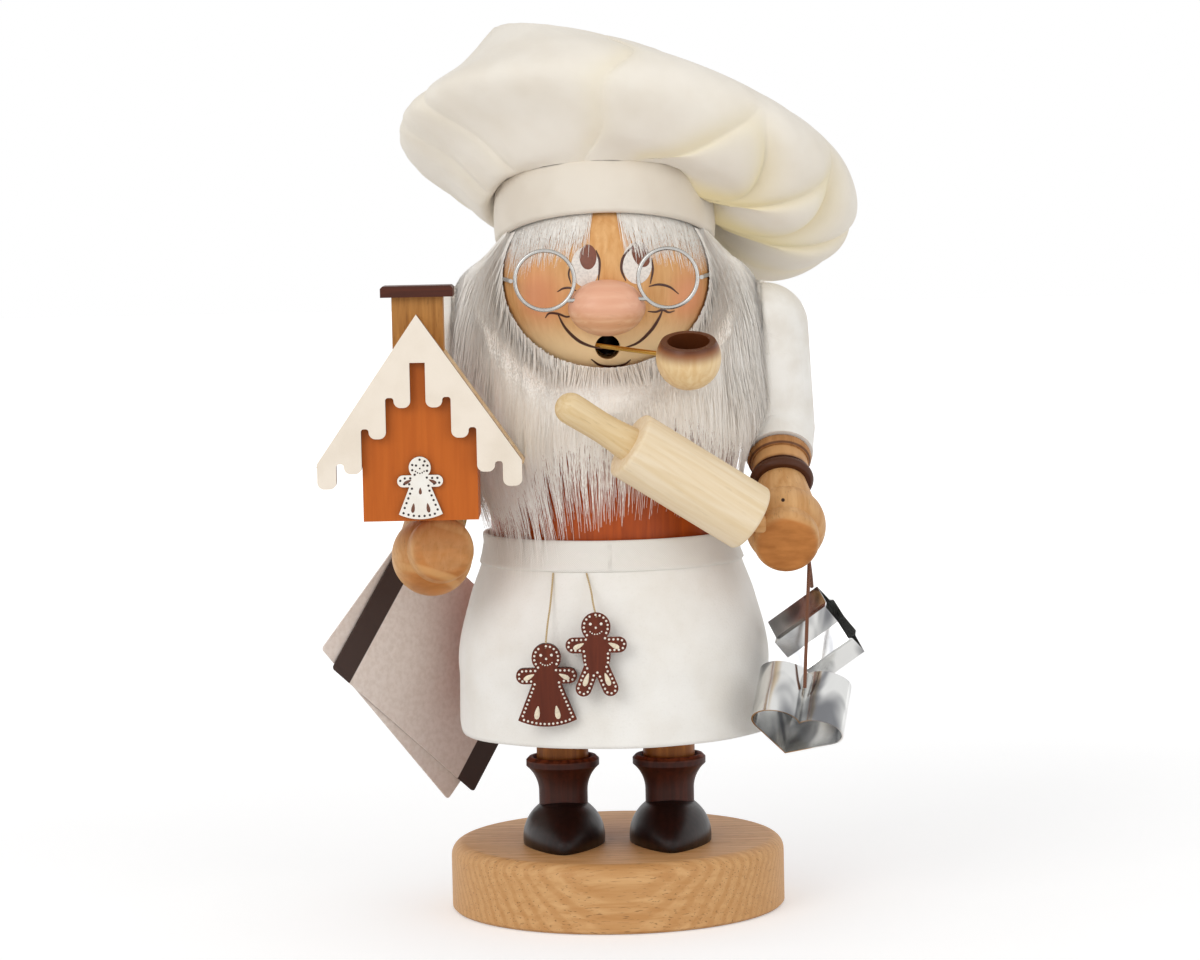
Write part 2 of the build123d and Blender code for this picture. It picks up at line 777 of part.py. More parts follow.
# Rolling pin: handle and roller in line, pegged into the right fist
right_hand = arm_places(1)[2]
left_hand = arm_places(-1)[2]
pin_run = Vector(*pin_direction).normalized()
pin_foot = right_hand + Vector(*fist_directions[1]).normalized() * pin_fist_step
roller_end = pin_foot - pin_run * pin_fist_gap
roller_start = roller_end - pin_run * roller_length
pin_tip = roller_start - pin_run * pin_handle_length
peg_start = roller_end - pin_run * pin_peg_depth
pin_plane = turning_plane(roller_start, roller_end)
with BuildPart() as pin_roller:
    with BuildSketch(pin_plane):
        with Locations((roller_length / 2, roller_diameter / 4)):
            Rectangle(roller_length, roller_diameter / 2)
    revolve(axis=turning_axis(pin_plane))
    fillet(pin_roller.edges(), roller_round)
    add(rod(peg_start, pin_foot, pin_peg_diameter + 2 * glue_gap), mode=Mode.SUBTRACT)
save(pin_roller, "pin_roller")

handle_plane = turning_plane(roller_start, pin_tip)
with BuildPart() as pin_handle:
    with BuildSketch(handle_plane):
        with BuildLine():
            side_line = Spline(
                (0, pin_handle_foot), (pin_handle_length / 3, pin_handle_radius - 0.2),
                (pin_handle_length - pin_handle_radius, pin_handle_radius), tangents=[(1, -0.1), (1, 0)],
            )
            TangentArc(side_line @ 1, (pin_handle_length, 0), tangent=(1, 0))
            Polyline((pin_handle_length, 0), (0, 0), side_line @ 0)
        make_face()
    revolve(axis=turning_axis(handle_plane))
save(pin_handle, "pin_handle")

with BuildPart() as pin_peg:
    add(rod(peg_start, pin_foot, pin_peg_diameter))
save(pin_peg, "pin_peg")

# Gingerbread house, pegged on top of the left fist
house_x = left_hand.X + house_shift_x
house_back = left_hand.Y + house_back_y
house_front = house_back - house_depth
house_z = left_hand.Z + hand_radius + house_gap
roof_pitch = atan(gable_rise / gable_half_span)
roof_upright = roof_thickness / cos(roof_pitch)
block_apex = gable_apex - gable_lip - roof_upright
wall_height = block_apex - house_width / 2 * gable_rise / gable_half_span
front_plane = Plane(origin=(house_x, house_front, house_z), x_dir=(1, 0, 0), z_dir=(0, -1, 0))
peg_x = left_hand.X + house_peg_place[0]
peg_y = left_hand.Y + house_peg_place[1]
house_peg_ends = [(peg_x, peg_y, house_z - house_peg_depth), (peg_x, peg_y, house_z + house_peg_depth)]
house_socket = rod(*house_peg_ends, house_peg_diameter + 2 * glue_gap)
build_sleeve(-1, "sleeve_left")
build_sleeve(1, "sleeve_right")
build_cuff(-1, "cuff_left")
build_cuff(1, "cuff_right")
build_hand(-1, "hand_left", house_socket)
build_hand(1, "hand_right", rod(peg_start, pin_foot, pin_peg_diameter + 2 * glue_gap))

with BuildPart() as house_peg:
    add(rod(*house_peg_ends, house_peg_diameter))
save(house_peg, "house_peg")

with BuildPart() as house_block:
    with BuildSketch(front_plane):
        with BuildLine():
            Polyline(
                (-house_width / 2, 0), (house_width / 2, 0), (house_width / 2, wall_height), (0, block_apex),
                (-house_width / 2, wall_height), close=True,
            )
        make_face()
    extrude(amount=-house_depth)
    add(house_socket, mode=Mode.SUBTRACT)
save(house_block, "house_block")


def build_roof(side, name):
    eave_z = block_apex - roof_span * gable_rise / gable_half_span
    edge_x = roof_thickness * sin(roof_pitch)
    edge_z = roof_thickness * cos(roof_pitch)
    with BuildPart() as board:
        with BuildSketch(front_plane):
            with BuildLine():
                Polyline(
                    (0, block_apex), (side * roof_span, eave_z), (side * (roof_span + edge_x), eave_z + edge_z),
                    (0, block_apex + roof_upright), close=True,
                )
            make_face()
        extrude(amount=-house_depth)
    save(board, name)


build_roof(-1, "roof_left")
build_roof(1, "roof_right")

# Icing on the gable, with drips that hang over the front of the house
with BuildPart() as icing_gable:
    with BuildSketch(front_plane) as icing:
        half = [(gable_half_span, -gable_rise)]
        for inner, outer, drop in reversed(icing_drips):
            if outer < gable_half_span:
                half.append((outer, icing_notch_rise - drop))
            half.extend([(outer, -drop), (inner, -drop)])
            further = [d for i, _, d in icing_drips if i < inner]
            half.append((inner, icing_notch_rise - further[-1] if further else -icing_slot_drop))
        right_side = [(x, gable_apex + z) for x, z in half]
        left_side = [(-x, gable_apex + z) for x, z in reversed(half)]
        with BuildLine():
            Polyline((0, gable_apex), *right_side, *left_side, close=True)
        make_face()
        ends = [v for v in icing.vertices() for d in icing_drips if abs(v.Y - gable_apex + d[2]) < 0.01]
        fillet(ends, drip_round)
        tops = [
            v for v in icing.vertices() for d in icing_drips
            if abs(v.Y - gable_apex + d[2] - icing_notch_rise) < 0.01
        ]
        fillet(tops, notch_round)
    extrude(amount=gable_thickness)
save(icing_gable, "icing_gable")

# Chimney saddled on the ridge, and its cap
chimney_y = house_front + house_depth / 2
ridge_height = block_apex + roof_upright + glue_gap
chimney_top = gable_apex + chimney_rise
with BuildPart() as chimney:
    with Locations((house_x, chimney_y, house_z + chimney_top)):
        Box(chimney_width, chimney_depth, 2 * chimney_width, align=(Align.CENTER, Align.CENTER, Align.MAX))
    with BuildSketch(front_plane):
        with BuildLine():
            foot = ridge_height - gable_rise
            Polyline((0, ridge_height), (gable_half_span, foot), (-gable_half_span, foot), close=True)
        make_face()
    extrude(amount=-house_depth, mode=Mode.SUBTRACT)
save(chimney, "chimney")

with BuildPart() as chimney_cap:
    with Locations((house_x, chimney_y, house_z + chimney_top)):
        Box(cap_width, cap_depth, cap_thickness, align=(Align.CENTER, Align.CENTER, Align.MIN))
    chamfer(chimney_cap.faces().sort_by(Axis.Z)[-1].edges(), cap_thickness / 5)
save(chimney_cap, "chimney_cap")


# Gingerbread figures: a round head, stub arms, and legs or a skirt
def gingerbread(height, skirted):
    head_r = 0.175 * height
    limb_r = 0.095 * height
    with BuildSketch(mode=Mode.PRIVATE) as outline:
        with Locations((0, height / 2 - head_r)):
            Circle(head_r)
        with Locations((0, 0.11 * height)):
            SlotCenterToCenter(0.54 * height, 2 * limb_r)
        if skirted:
            with BuildLine():
                hem = ThreePointArc(
                    (-0.35 * height, -0.42 * height), (0, -0.5 * height), (0.35 * height, -0.42 * height)
                )
                Polyline(hem @ 1, (0.1 * height, 0.2 * height), (-0.1 * height, 0.2 * height), hem @ 0)
            make_face()
        else:
            Ellipse(0.17 * height, 0.26 * height)
            for side in (-1, 1):
                knee = (side * 0.1 * height, -0.26 * height)
                foot = (side * 0.16 * height, -0.5 * height + limb_r)
                SlotCenterPoint(knee, foot, 2 * limb_r)
    return outline.sketch


with BuildPart() as house_figure:
    with BuildSketch(front_plane):
        with Locations((0, house_figure_height / 2 + house_gap)):
            add(gingerbread(house_figure_height, True))
    extrude(amount=house_figure_thickness)
save(house_figure, "house_figure")


# Hanging gingerbread pair, each on a thread from the lower edge of the apron band
apron_band_bottom = seam_z + apron_band_top_rise - apron_band_height


def build_hanging_figure(place, lean, thread_end, skirted, name, thread_name):
    x, standoff, rise = place
    tilt = radians(lean)
    back_middle = (x, -seat_radius - standoff, seam_z + rise)
    back_plane = Plane(origin=back_middle, x_dir=(1, 0, 0), z_dir=(0, -cos(tilt), sin(tilt)))
    top = back_plane.from_local_coords(Vector(0, figure_height / 2, figure_thickness / 2))
    hook = Vector(thread_end[0], thread_end[1], apron_band_bottom - thread_drop)
    tail = top + (top - hook).normalized() * thread_socket
    with BuildPart() as figure:
        with BuildSketch(back_plane):
            add(gingerbread(figure_height, skirted))
        extrude(amount=figure_thickness)
        add(rod(hook, tail, thread_diameter + 2 * glue_gap), mode=Mode.SUBTRACT)
    save(figure, name)
    with BuildPart() as thread:
        add(rod(hook, tail, thread_diameter))
    save(thread, thread_name)


build_hanging_figure(man_place, man_lean, man_thread_end, False, "gingerbread_man", "man_thread")
build_hanging_figure(woman_place, woman_lean, woman_thread_end, True, "gingerbread_woman", "woman_thread")

# Apron: a skirt of felt round the front and sides, and a tape round the waist
skirt_inner = apron_gap
skirt_outer = skirt_inner + apron_thickness
hem_z = seam_z - apron_hem_drop
skirt_top = seam_z + apron_top_rise
with BuildPart() as apron_skirt:
    add(bell(skirt_outer, hem_z, skirt_top))
    add(bell(skirt_inner, hem_z, skirt_top), mode=Mode.SUBTRACT)
    with BuildSketch(Plane.YZ.offset(-base_diameter / 2)) as side_view:
        with Locations((apron_back_y, hem_z)):
            Rectangle(base_diameter, base_diameter, align=(Align.MAX, Align.MIN))
        fillet(side_view.vertices().group_by(Axis.Y)[0].sort_by(Axis.X)[-1], apron_corner_round)
    extrude(amount=base_diameter, mode=Mode.INTERSECT)
save(apron_skirt, "apron_skirt")

band_inner = skirt_outer + glue_gap
with BuildPart() as apron_band:
    add(bell(band_inner + apron_band_thickness, apron_band_bottom, apron_band_bottom + apron_band_height))
    add(bell(band_inner, apron_band_bottom, apron_band_bottom + apron_band_height), mode=Mode.SUBTRACT)
save(apron_band, "apron_band")


# Fur
def main_solid(body):
    return body.solids().sort_by(SortBy.VOLUME)[-1]


def clear_of_figure(body):
    """Trim a fur body off the head, the torso, the arms, the cap and the wires."""
    with BuildPart(mode=Mode.PRIVATE) as trimmed:
        add(body)
        split(bisect_by=band_plane.offset(-fur_hat_gap), keep=Keep.BOTTOM)
        add(ball(head_centre, head_radius + cloth_gap), mode=Mode.SUBTRACT)
        add(bell(cloth_gap, seam_z, neck_z), mode=Mode.SUBTRACT)
        for side in (-1, 1):
            shoulder, elbow, hand = arm_places(side)
            grown = [shoulder_radius + cloth_gap, elbow_radius + cloth_gap]
            add(limb(shoulder, elbow, *grown), mode=Mode.SUBTRACT)
            add(limb(elbow, hand, elbow_radius + cloth_gap, hand_radius + cloth_gap), mode=Mode.SUBTRACT)
            add(rod(*temple_ends(side), wire_diameter + cloth_gap), mode=Mode.SUBTRACT)
        add(rod(stem_inner_end, stem_outer_end, stem_diameter + cloth_gap), mode=Mode.SUBTRACT)
    return main_solid(trimmed.part)


face_plane = Plane.XZ.offset(-face_split_y)
with BuildPart() as hair_mass:
    with BuildSketch(Plane.XZ):
        with BuildLine():
            top = (head_radius - hair_top_inset, head_z + hair_top_rise)
            widest = (hair_radius, head_z - hair_fall / 6)
            tail = (hair_radius - hair_tail_inset, head_z - hair_fall)
            ThreePointArc(top, (hair_radius - 5, head_z + hair_top_rise / 2), widest)
            ThreePointArc(widest, (hair_radius - 1, head_z - hair_fall / 2), tail)
            Polyline(tail, (0, head_z - hair_fall), (0, head_z + hair_top_rise), top)
        make_face()
    revolve(axis=Axis.Z)
    split(bisect_by=face_plane.offset(-cloth_gap / 2), keep=Keep.BOTTOM)
with BuildPart() as hair_trim:
    add(clear_of_figure(hair_mass.part))
    split(bisect_by=crown_plane(crown_rings[0])[0].offset(-fur_hat_gap), keep=Keep.BOTTOM)
with BuildPart() as hair:
    add(main_solid(hair_trim.part))
save(hair, "hair")

with BuildPart() as beard_mass:
    for rise, half_width, reach in beard_rings:
        with BuildSketch(Plane.XY.offset(head_z + rise)):
            Ellipse(half_width, reach)
    loft()
    split(bisect_by=face_plane.offset(cloth_gap / 2), keep=Keep.TOP)
    with BuildSketch(face_plane):
        with Locations((0, head_z + face_rise)):
            Ellipse(head_radius - face_side_inset, head_radius - face_end_inset)
    extrude(amount=base_diameter, mode=Mode.SUBTRACT)
with BuildPart() as beard:
    add(clear_of_figure(beard_mass.part))
save(beard, "beard")

with BuildPart() as forehead_tufts:
    for side in (-1, 1):
        with BuildSketch(Plane.XZ.offset(-face_split_y)):
            with BuildLine():
                edge = [(side * x, head_z + rise) for x, rise in tuft_edge]
                tops = [(side * x, head_z + head_radius) for x in (tuft_side, tuft_edge[0][0])]
                Polyline(*edge, *tops, close=True)
            make_face()
    extrude(amount=head_radius)
    add(ball(head_centre, head_radius + glue_gap + tuft_thickness), mode=Mode.INTERSECT)
    add(ball(head_centre, head_radius + glue_gap), mode=Mode.SUBTRACT)
    split(bisect_by=band_plane.offset(-cloth_gap), keep=Keep.BOTTOM)
save(forehead_tufts, "forehead_tufts")

# Cookie cutters: bent tin strip in the outline of a heart and of a star
def heart_outline(radius):
    """Two lobes and two straight flanks; the outer lobes meet at the cusp, at the origin."""
    lobe_x = heart_lobe_spacing / 2
    lobe_y = sqrt(heart_lobe_radius**2 - lobe_x**2)
    slope = radians(heart_side_angle)
    flank_x = lobe_x + radius * cos(slope)
    flank_y = lobe_y + radius * sin(slope)
    cusp = (0, lobe_y - sqrt(radius**2 - lobe_x**2))
    tip = (0, flank_y + flank_x * cos(slope) / sin(slope))
    with BuildLine(mode=Mode.PRIVATE) as outline:
        for side in (-1, 1):
            ThreePointArc(cusp, (side * lobe_x, lobe_y - radius), (side * flank_x, flank_y))
            Line((side * flank_x, flank_y), tip)
    return outline.edges()


heart_plane = Plane(origin=right_hand + Vector(*heart_cusp), x_dir=heart_across, z_dir=heart_axis)
with BuildPart() as heart_cutter:
    with BuildSketch(heart_plane):
        make_face(heart_outline(heart_lobe_radius))
        make_face(heart_outline(heart_lobe_radius - tin_thickness), mode=Mode.SUBTRACT)
    extrude(amount=heart_depth)
save(heart_cutter, "heart_cutter")

star_run = Vector(*star_axis).normalized()
star_up = Vector(0, 0, 1) - star_run * star_run.Z
star_plane = Plane(origin=right_hand + Vector(*star_place), x_dir=star_up, z_dir=star_run)
with BuildPart() as star_cutter:
    with BuildSketch(star_plane):
        corners = []
        for i in range(2 * star_points):
            reach = star_inner_radius if i % 2 else star_radius
            corners.append((reach * cos(pi * i / star_points), reach * sin(pi * i / star_points)))
        with BuildLine():
            Polyline(*corners, close=True)
        make_face()
        offset(amount=-tin_thickness, kind=Kind.INTERSECTION, mode=Mode.SUBTRACT)
    extrude(amount=star_depth)
save(star_cutter, "star_cutter")

with BuildPart() as heart_cord:
    add(rod(*[right_hand + Vector(*end) for end in heart_cord_ends], cutter_cord_diameter))
save(heart_cord, "heart_cord")

with BuildPart() as star_cord:
    add(rod(*[right_hand + Vector(*end) for end in star_cord_ends], cutter_cord_diameter))
save(star_cord, "star_cord")

# Hang tag: two blank leaves of card on an elastic loop round the left wrist
tag_across = (cos(radians(tag_yaw)), sin(radians(tag_yaw)), 0)
tag_facing = (sin(radians(tag_yaw)), -cos(radians(tag_yaw)), 0)
tag_plane = Plane(origin=left_hand + Vector(*tag_hole_place), x_dir=tag_across, z_dir=tag_facing)


def build_leaf(turn, level, name):
    middle = (tag_hole_fall * sin(radians(turn)), -tag_hole_fall * cos(radians(turn)))
    with BuildPart() as leaf:
        with BuildSketch(tag_plane.offset(level)):
            with Locations(middle):
                RectangleRounded(tag_length, tag_width, tag_corner_round, rotation=tag_roll + turn)
            Circle(tag_hole_diameter / 2, mode=Mode.SUBTRACT)
        extrude(amount=tag_thickness)
    save(leaf, name)


build_leaf(tag_fan / 2, tag_gap / 2, "tag_front")
build_leaf(-tag_fan / 2, -tag_gap / 2 - tag_thickness, "tag_back")

cord_points = [left_hand + Vector(*point) for point in tag_cord_route]
cord_radii = []
for before, corner, after in zip(cord_points, cord_points[1:], cord_points[2:]):
    run_in = corner - before
    run_out = after - corner
    half_turn = radians(run_in.get_angle(run_out)) / 2
    cord_radii.append(0.45 * min(run_in.length, run_out.length) * cos(half_turn) / sin(half_turn))
with BuildPart() as tag_cord:
    with BuildLine() as cord_line:
        FilletPolyline(*cord_points, radius=cord_radii)
    with BuildSketch(Plane(origin=cord_points[0], z_dir=cord_points[1] - cord_points[0])):
        Circle(tag_cord_diameter / 2)
    sweep(path=cord_line.line)
save(tag_cord, "tag_cord")
print("tag cord radii:", [round(radius, 1) for radius in cord_radii])
print("tag cord length:", round(sum(edge.length for edge in cord_line.edges()), 1))
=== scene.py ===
from math import cos, pi, radians, sin, sqrt

import bpy
import numpy as np
from mathutils import Matrix, Vector
from numpy.linalg import norm


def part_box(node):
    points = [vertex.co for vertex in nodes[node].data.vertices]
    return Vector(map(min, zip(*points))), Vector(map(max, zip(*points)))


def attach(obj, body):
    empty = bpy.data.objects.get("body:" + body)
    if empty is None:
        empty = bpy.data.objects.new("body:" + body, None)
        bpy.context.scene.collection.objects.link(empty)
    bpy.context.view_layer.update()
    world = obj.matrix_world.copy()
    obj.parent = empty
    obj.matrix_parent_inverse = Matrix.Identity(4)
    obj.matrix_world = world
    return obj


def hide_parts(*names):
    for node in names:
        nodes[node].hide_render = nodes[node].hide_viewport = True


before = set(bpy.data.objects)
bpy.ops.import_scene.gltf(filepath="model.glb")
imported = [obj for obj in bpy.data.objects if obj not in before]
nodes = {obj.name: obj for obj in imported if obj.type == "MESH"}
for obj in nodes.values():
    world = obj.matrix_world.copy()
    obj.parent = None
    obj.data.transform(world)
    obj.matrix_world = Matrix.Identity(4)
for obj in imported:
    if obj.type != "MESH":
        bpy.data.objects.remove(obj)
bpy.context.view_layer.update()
rng = np.random.default_rng(20)

# Places of the CAD model, in millimetres
head = np.array([0.0, 0.0, 205.583])
head_radius = 35.0
mouth_z = 185.48
hands = {"left": np.array([-57.5, -36.0, 120.3]), "right": np.array([55.7, -36.0, 127.5])}
elbows = {"left": np.array([-55.0, -3.0, 157.0]), "right": np.array([55.0, -3.0, 157.0])}
shoulders = {"left": np.array([-51.5, 0.0, 190.0]), "right": np.array([51.5, 0.0, 190.0])}
hat_tilt = radians(17)
hat_up = np.array([0.0, sin(hat_tilt), cos(hat_tilt)])
hat_back = np.array([0.0, cos(hat_tilt), -sin(hat_tilt)])
band_low = head + hat_up * 13.5
seam_z = 67.0
pin_run = (0.8145, 0.22, -0.536)
upright = (0, 0, 1)
frontal = (0.0, 1.0, 0.0)

# Gingerbread figures: middle, lean, hook of the thread on the apron's tape, and whether there is a skirt
bread_height = 26.5
bread_thickness = 2.4
breads = {
    "man": (np.array([-5.6, -53.6, 89.6]), radians(8.0), np.array([-8.2, -42.4, 114.15]), False),
    "woman": (np.array([-21.5, -50.2, 80.0]), 0.0, np.array([-18.9, -38.9, 114.15]), True),
}

# Camera at the photograph's viewing angle
photo_width = 1200
photo_height = 960
focal = 3761.0
sensor_width = 36
eye = np.array([-3.3, -1233.6, 238.1])
camera_pitch = radians(90 - 4.52)
camera_roll = radians(-1.2)
camera_turn = Matrix.Rotation(camera_pitch, 4, "X") @ Matrix.Rotation(camera_roll, 4, "Z")
camera = bpy.data.objects.new("camera", bpy.data.cameras.new("camera"))
camera.data.sensor_width = sensor_width
camera.data.lens = focal / photo_width * sensor_width
camera.data.clip_end = 20
camera.matrix_world = Matrix.Translation(Vector(eye / 1000)) @ camera_turn
bpy.context.collection.objects.link(camera)
bpy.context.scene.camera = camera
bpy.context.scene.view_settings.view_transform = "Standard"


def pixel_ray(px, py):
    """Direction from the eye through a pixel of the photograph."""
    sight = Vector(((px - photo_width / 2) / focal, (photo_height / 2 - py) / focal, -1.0))
    return unit(np.array(camera_turn.to_3x3() @ sight))


# Materials
def shade(code):
    """Linear colour of a hex code."""
    parts = [int(code[i:i + 2], 16) / 255 for i in (0, 2, 4)]
    return tuple(c / 12.92 if c <= 0.04045 else ((c + 0.055) / 1.055) ** 2.4 for c in parts) + (1.0,)


class Nodes:
    """Adds and joins the nodes of a shader tree; a text put into a socket is a colour's hex code."""

    def __init__(self, tree):
        self.tree = tree

    def put(self, socket, value):
        if isinstance(value, bpy.types.NodeSocket):
            self.tree.links.new(value, socket)
        else:
            socket.default_value = shade(value) if isinstance(value, str) else value

    def add(self, kind, inputs=None, **settings):
        node = self.tree.nodes.new("ShaderNode" + kind)
        for key, value in settings.items():
            setattr(node, key, value)
        for key, value in (inputs or {}).items():
            self.put(node.inputs[key], value)
        return node

    def math(self, operation, a, b=0.5):
        return self.add("Math", {0: a, 1: b}, operation=operation).outputs[0]

    def times(self, a, b):
        return self.math("MULTIPLY", a, b)

    def plus(self, a, b):
        return self.math("ADD", a, b)

    def seen(self):
        """1 for rays that show the background: from the camera, in a reflection or through glass."""
        path = self.add("LightPath")
        shown = self.math("MAXIMUM", path.outputs["Is Camera Ray"], path.outputs["Is Glossy Ray"])
        return self.math("MAXIMUM", shown, path.outputs["Is Transmission Ray"])


class Surface(Nodes):
    """A node material that is built up from object coordinates in millimetres."""

    def __init__(self, name, rough, metal=0.0, coat=0.0, sheen=0.0, gloss=0.5, soft=0.0):
        self.material = bpy.data.materials.new(name)
        self.material.use_nodes = True
        super().__init__(self.material.node_tree)
        self.shader = self.tree.nodes["Principled BSDF"]
        looks = {"Roughness": rough, "Metallic": metal, "Coat Weight": coat, "Coat Roughness": 0.25,
                 "Sheen Weight": sheen, "Specular IOR Level": gloss}
        for key, value in looks.items():
            self.shader.inputs[key].default_value = value
        coords = self.add("TexCoord")
        self.normal = coords.outputs["Normal"]
        self.uv = coords.outputs["UV"]
        self.place = self.vector("SCALE", coords.outputs["Object"], scale=1000.0)
        if soft:
            rounded = self.add("Bevel", {"Radius": soft / 1000}, samples=8)
            self.put(self.shader.inputs["Normal"], rounded.outputs[0])

    def vector(self, operation, a, b=None, scale=None):
        node = self.add("VectorMath", {0: a}, operation=operation)
        if b is not None:
            self.put(node.inputs[1], b)
        if scale is not None:
            self.put(node.inputs["Scale"], scale)
        single = operation in ("DOT_PRODUCT", "DISTANCE", "LENGTH")
        return node.outputs["Value" if single else "Vector"]

    def span(self, value, low, high):
        """0 up to low, 1 from high, smooth between."""
        inputs = {"Value": value, "From Min": low, "From Max": high}
        return self.add("MapRange", inputs, interpolation_type="SMOOTHSTEP").outputs[0]

    def along(self, origin, direction):
        """Distance along a direction from a point, in millimetres."""
        start = self.vector("SUBTRACT", self.place, tuple(origin))
        return self.vector("DOT_PRODUCT", start, tuple(direction))

    def facing(self, direction):
        """1 where the surface lies square to a direction, 0 where it runs along it."""
        return self.math("ABSOLUTE", self.vector("DOT_PRODUCT", self.normal, direction))

    def stretch(self, place, scale):
        return self.vector("MULTIPLY", place, scale)

    def noise(self, scale, detail=3.0, distortion=0.0, place=None):
        place = self.place if place is None else place
        inputs = {"Vector": place, "Scale": scale, "Detail": detail, "Distortion": distortion}
        return self.add("TexNoise", inputs).outputs["Fac"]

    def wave(self, place, scale, distortion, detail, direction):
        inputs = {"Vector": place, "Scale": scale, "Distortion": distortion, "Detail": detail}
        return self.add("TexWave", inputs, bands_direction=direction).outputs["Fac"]

    def growth(self, place, scale):
        """Year rings round the x axis."""
        inputs = {"Vector": place, "Scale": scale, "Distortion": 3.0, "Detail": 2.0}
        return self.add("TexWave", inputs, wave_type="RINGS", rings_direction="X").outputs["Fac"]

    def mix(self, factor, a, b, share=None):
        """Colour a, or a share of b over it where the factor is 1."""
        if share is not None:
            factor = self.times(factor, share)
        return self.add("Mix", {0: factor, 6: a, 7: b}, data_type="RGBA").outputs[2]

    def blend(self, value, low, high, a, b, share=None):
        """Colour a up to a low value, and b, or a share of it, from a high one."""
        return self.mix(self.span(value, low, high), a, b, share)

    def bump(self, height, strength, distance):
        inputs = {"Height": height, "Strength": strength, "Distance": distance}
        previous = self.shader.inputs["Normal"].links
        if previous:
            inputs["Normal"] = previous[0].from_socket
        self.put(self.shader.inputs["Normal"], self.add("Bump", inputs).outputs[0])

    def varied(self, rough, value, amount):
        """Roughness that a value between 0 and 1 moves by an amount in all."""
        return self.plus(self.times(value, amount), rough - amount / 2)

    def finish(self, colour, rough=None):
        self.put(self.shader.inputs["Base Color"], colour)
        if rough is not None:
            self.put(self.shader.inputs["Roughness"], rough)
        return self.material


class Wood(Surface):
    """Wood with the grain along one direction: streaks, growth rings and short dark flecks.

    With a heart, the rings lie round that point across the grain, and the end grain is calmer.
    """

    def __init__(self, name, pale, deep, grain=(1, 0, 0), rough=0.5, coat=0.0, fleck=0.4, ring=0.4,
                 heart=None, soft=0.0):
        super().__init__(name, rough, coat=coat, gloss=0.25, soft=soft)
        turn = Vector(grain).rotation_difference(Vector((1, 0, 0))).to_euler()
        laid = self.add("Mapping", {"Vector": self.place, "Rotation": turn}).outputs[0]
        streaks = self.noise(1.0, 5.0, 0.6, self.stretch(laid, (0.03, 0.5, 0.5)))
        if heart:
            calm = self.times(self.math("SUBTRACT", 0.5, streaks), self.times(self.facing(grain), 0.8))
            streaks = self.plus(streaks, calm)
            shifted = self.vector("SUBTRACT", self.stretch(laid, (0.1, 1.0, 1.0)), (0.0, *heart))
            rings = self.span(self.growth(shifted, 0.115), 0.35, 0.95)
        else:
            rings = self.wave(self.stretch(laid, (0.012, 0.3, 1.0)), 0.11, 5.0, 3.0, "Z")
        specks = self.noise(0.75, 2.0, place=self.stretch(laid, (0.28, 2.6, 2.6)))
        flecks = self.span(specks, 0.60, 0.72)
        tone = self.blend(streaks, 0.25, 0.8, pale, deep)
        tone = self.mix(rings, tone, deep, ring)
        dark = self.mix(0.6, deep, (0.02, 0.008, 0.004, 1))
        self.tone = self.mix(flecks, tone, dark, fleck)
        self.bump(flecks, -0.12, 0.0001)
        self.bump(streaks, 0.10, 0.00015)
        self.rough = self.varied(rough, streaks, 0.16)

    def done(self, colour=None):
        return self.finish(colour or self.tone, self.rough)


def dress(material, *names):
    """Give nodes of the CAD model a material."""
    for name in names:
        if not nodes[name].material_slots:
            nodes[name].data.materials.append(material)
        for slot in nodes[name].material_slots:
            slot.material = material


def painted(name, colour, grime, burnt=None):
    """Paint on wood, with burnt edges where a sawn board shows its sides."""
    rough = 0.6
    surface = Surface(name, rough)
    patches = surface.noise(0.08, 4.0)
    tone = surface.blend(patches, 0.35, 0.75, colour, grime)
    if burnt:
        tone = surface.blend(surface.facing(frontal), 0.35, 0.75, burnt, tone)
    surface.bump(surface.noise(1.6), 0.15, 0.0002)
    return surface.finish(tone, surface.varied(rough, patches, 0.2))


def metal(name, colour, rough, wobble):
    """Drawn wire with slight dents."""
    surface = Surface(name, rough, metal=1.0)
    patches = surface.noise(0.8)
    tone = surface.mix(patches, colour, surface.mix(0.35, colour, (0.1, 0.1, 0.1, 1)))
    surface.bump(surface.noise(0.12, 2.0), wobble, 0.002)
    return surface.finish(tone, surface.varied(rough, patches, 0.2))


def cloth(name, pale, deep, fold=None):
    """Cloth woven along the UV directions; fold is a yellow colour painted as shade in the creases."""
    weave = 1.6
    surface = Surface(name, 0.85, sheen=0.2)
    patches = surface.noise(0.05)
    tone = surface.blend(patches, 0.3, 0.8, pale, deep)
    if fold:
        # Painted shade: the fold attribute mixes the fold colour in along the creases
        depth = surface.add("Attribute", attribute_name="fold").outputs["Fac"]
        tone = surface.mix(depth, tone, fold)
    warp = surface.wave(surface.uv, weave, 0.4, 1.0, "X")
    weft = surface.wave(surface.uv, weave, 0.4, 1.0, "Y")
    threads = surface.times(warp, weft)
    surface.bump(threads, 0.25, 0.0001)
    surface.bump(surface.noise(0.9), 0.12, 0.0003)
    return surface.finish(surface.mix(threads, tone, deep, 0.12))


# Pieces and their meshes
def linked(name, data):
    thing = bpy.data.objects.new(name, data)
    bpy.context.collection.objects.link(thing)
    return thing


def ridden(name, data, material, body, replaced):
    """An object that rides on a body and may replace CAD nodes."""
    data.materials.append(material)
    thing = linked(name, data)
    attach(thing, body)
    if replaced:
        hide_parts(*replaced)
    return thing


def grid(rows, columns, closed=False):
    """Quads of a grid of points, row after row; a closed grid joins its last column to its first."""
    index = np.arange(rows * columns).reshape(rows, columns)
    if closed:
        index = np.hstack([index, index[:, :1]])
    corners = [index[:-1, :-1], index[:-1, 1:], index[1:, 1:], index[1:, :-1]]
    return np.stack(corners, axis=-1).reshape(-1, 4)


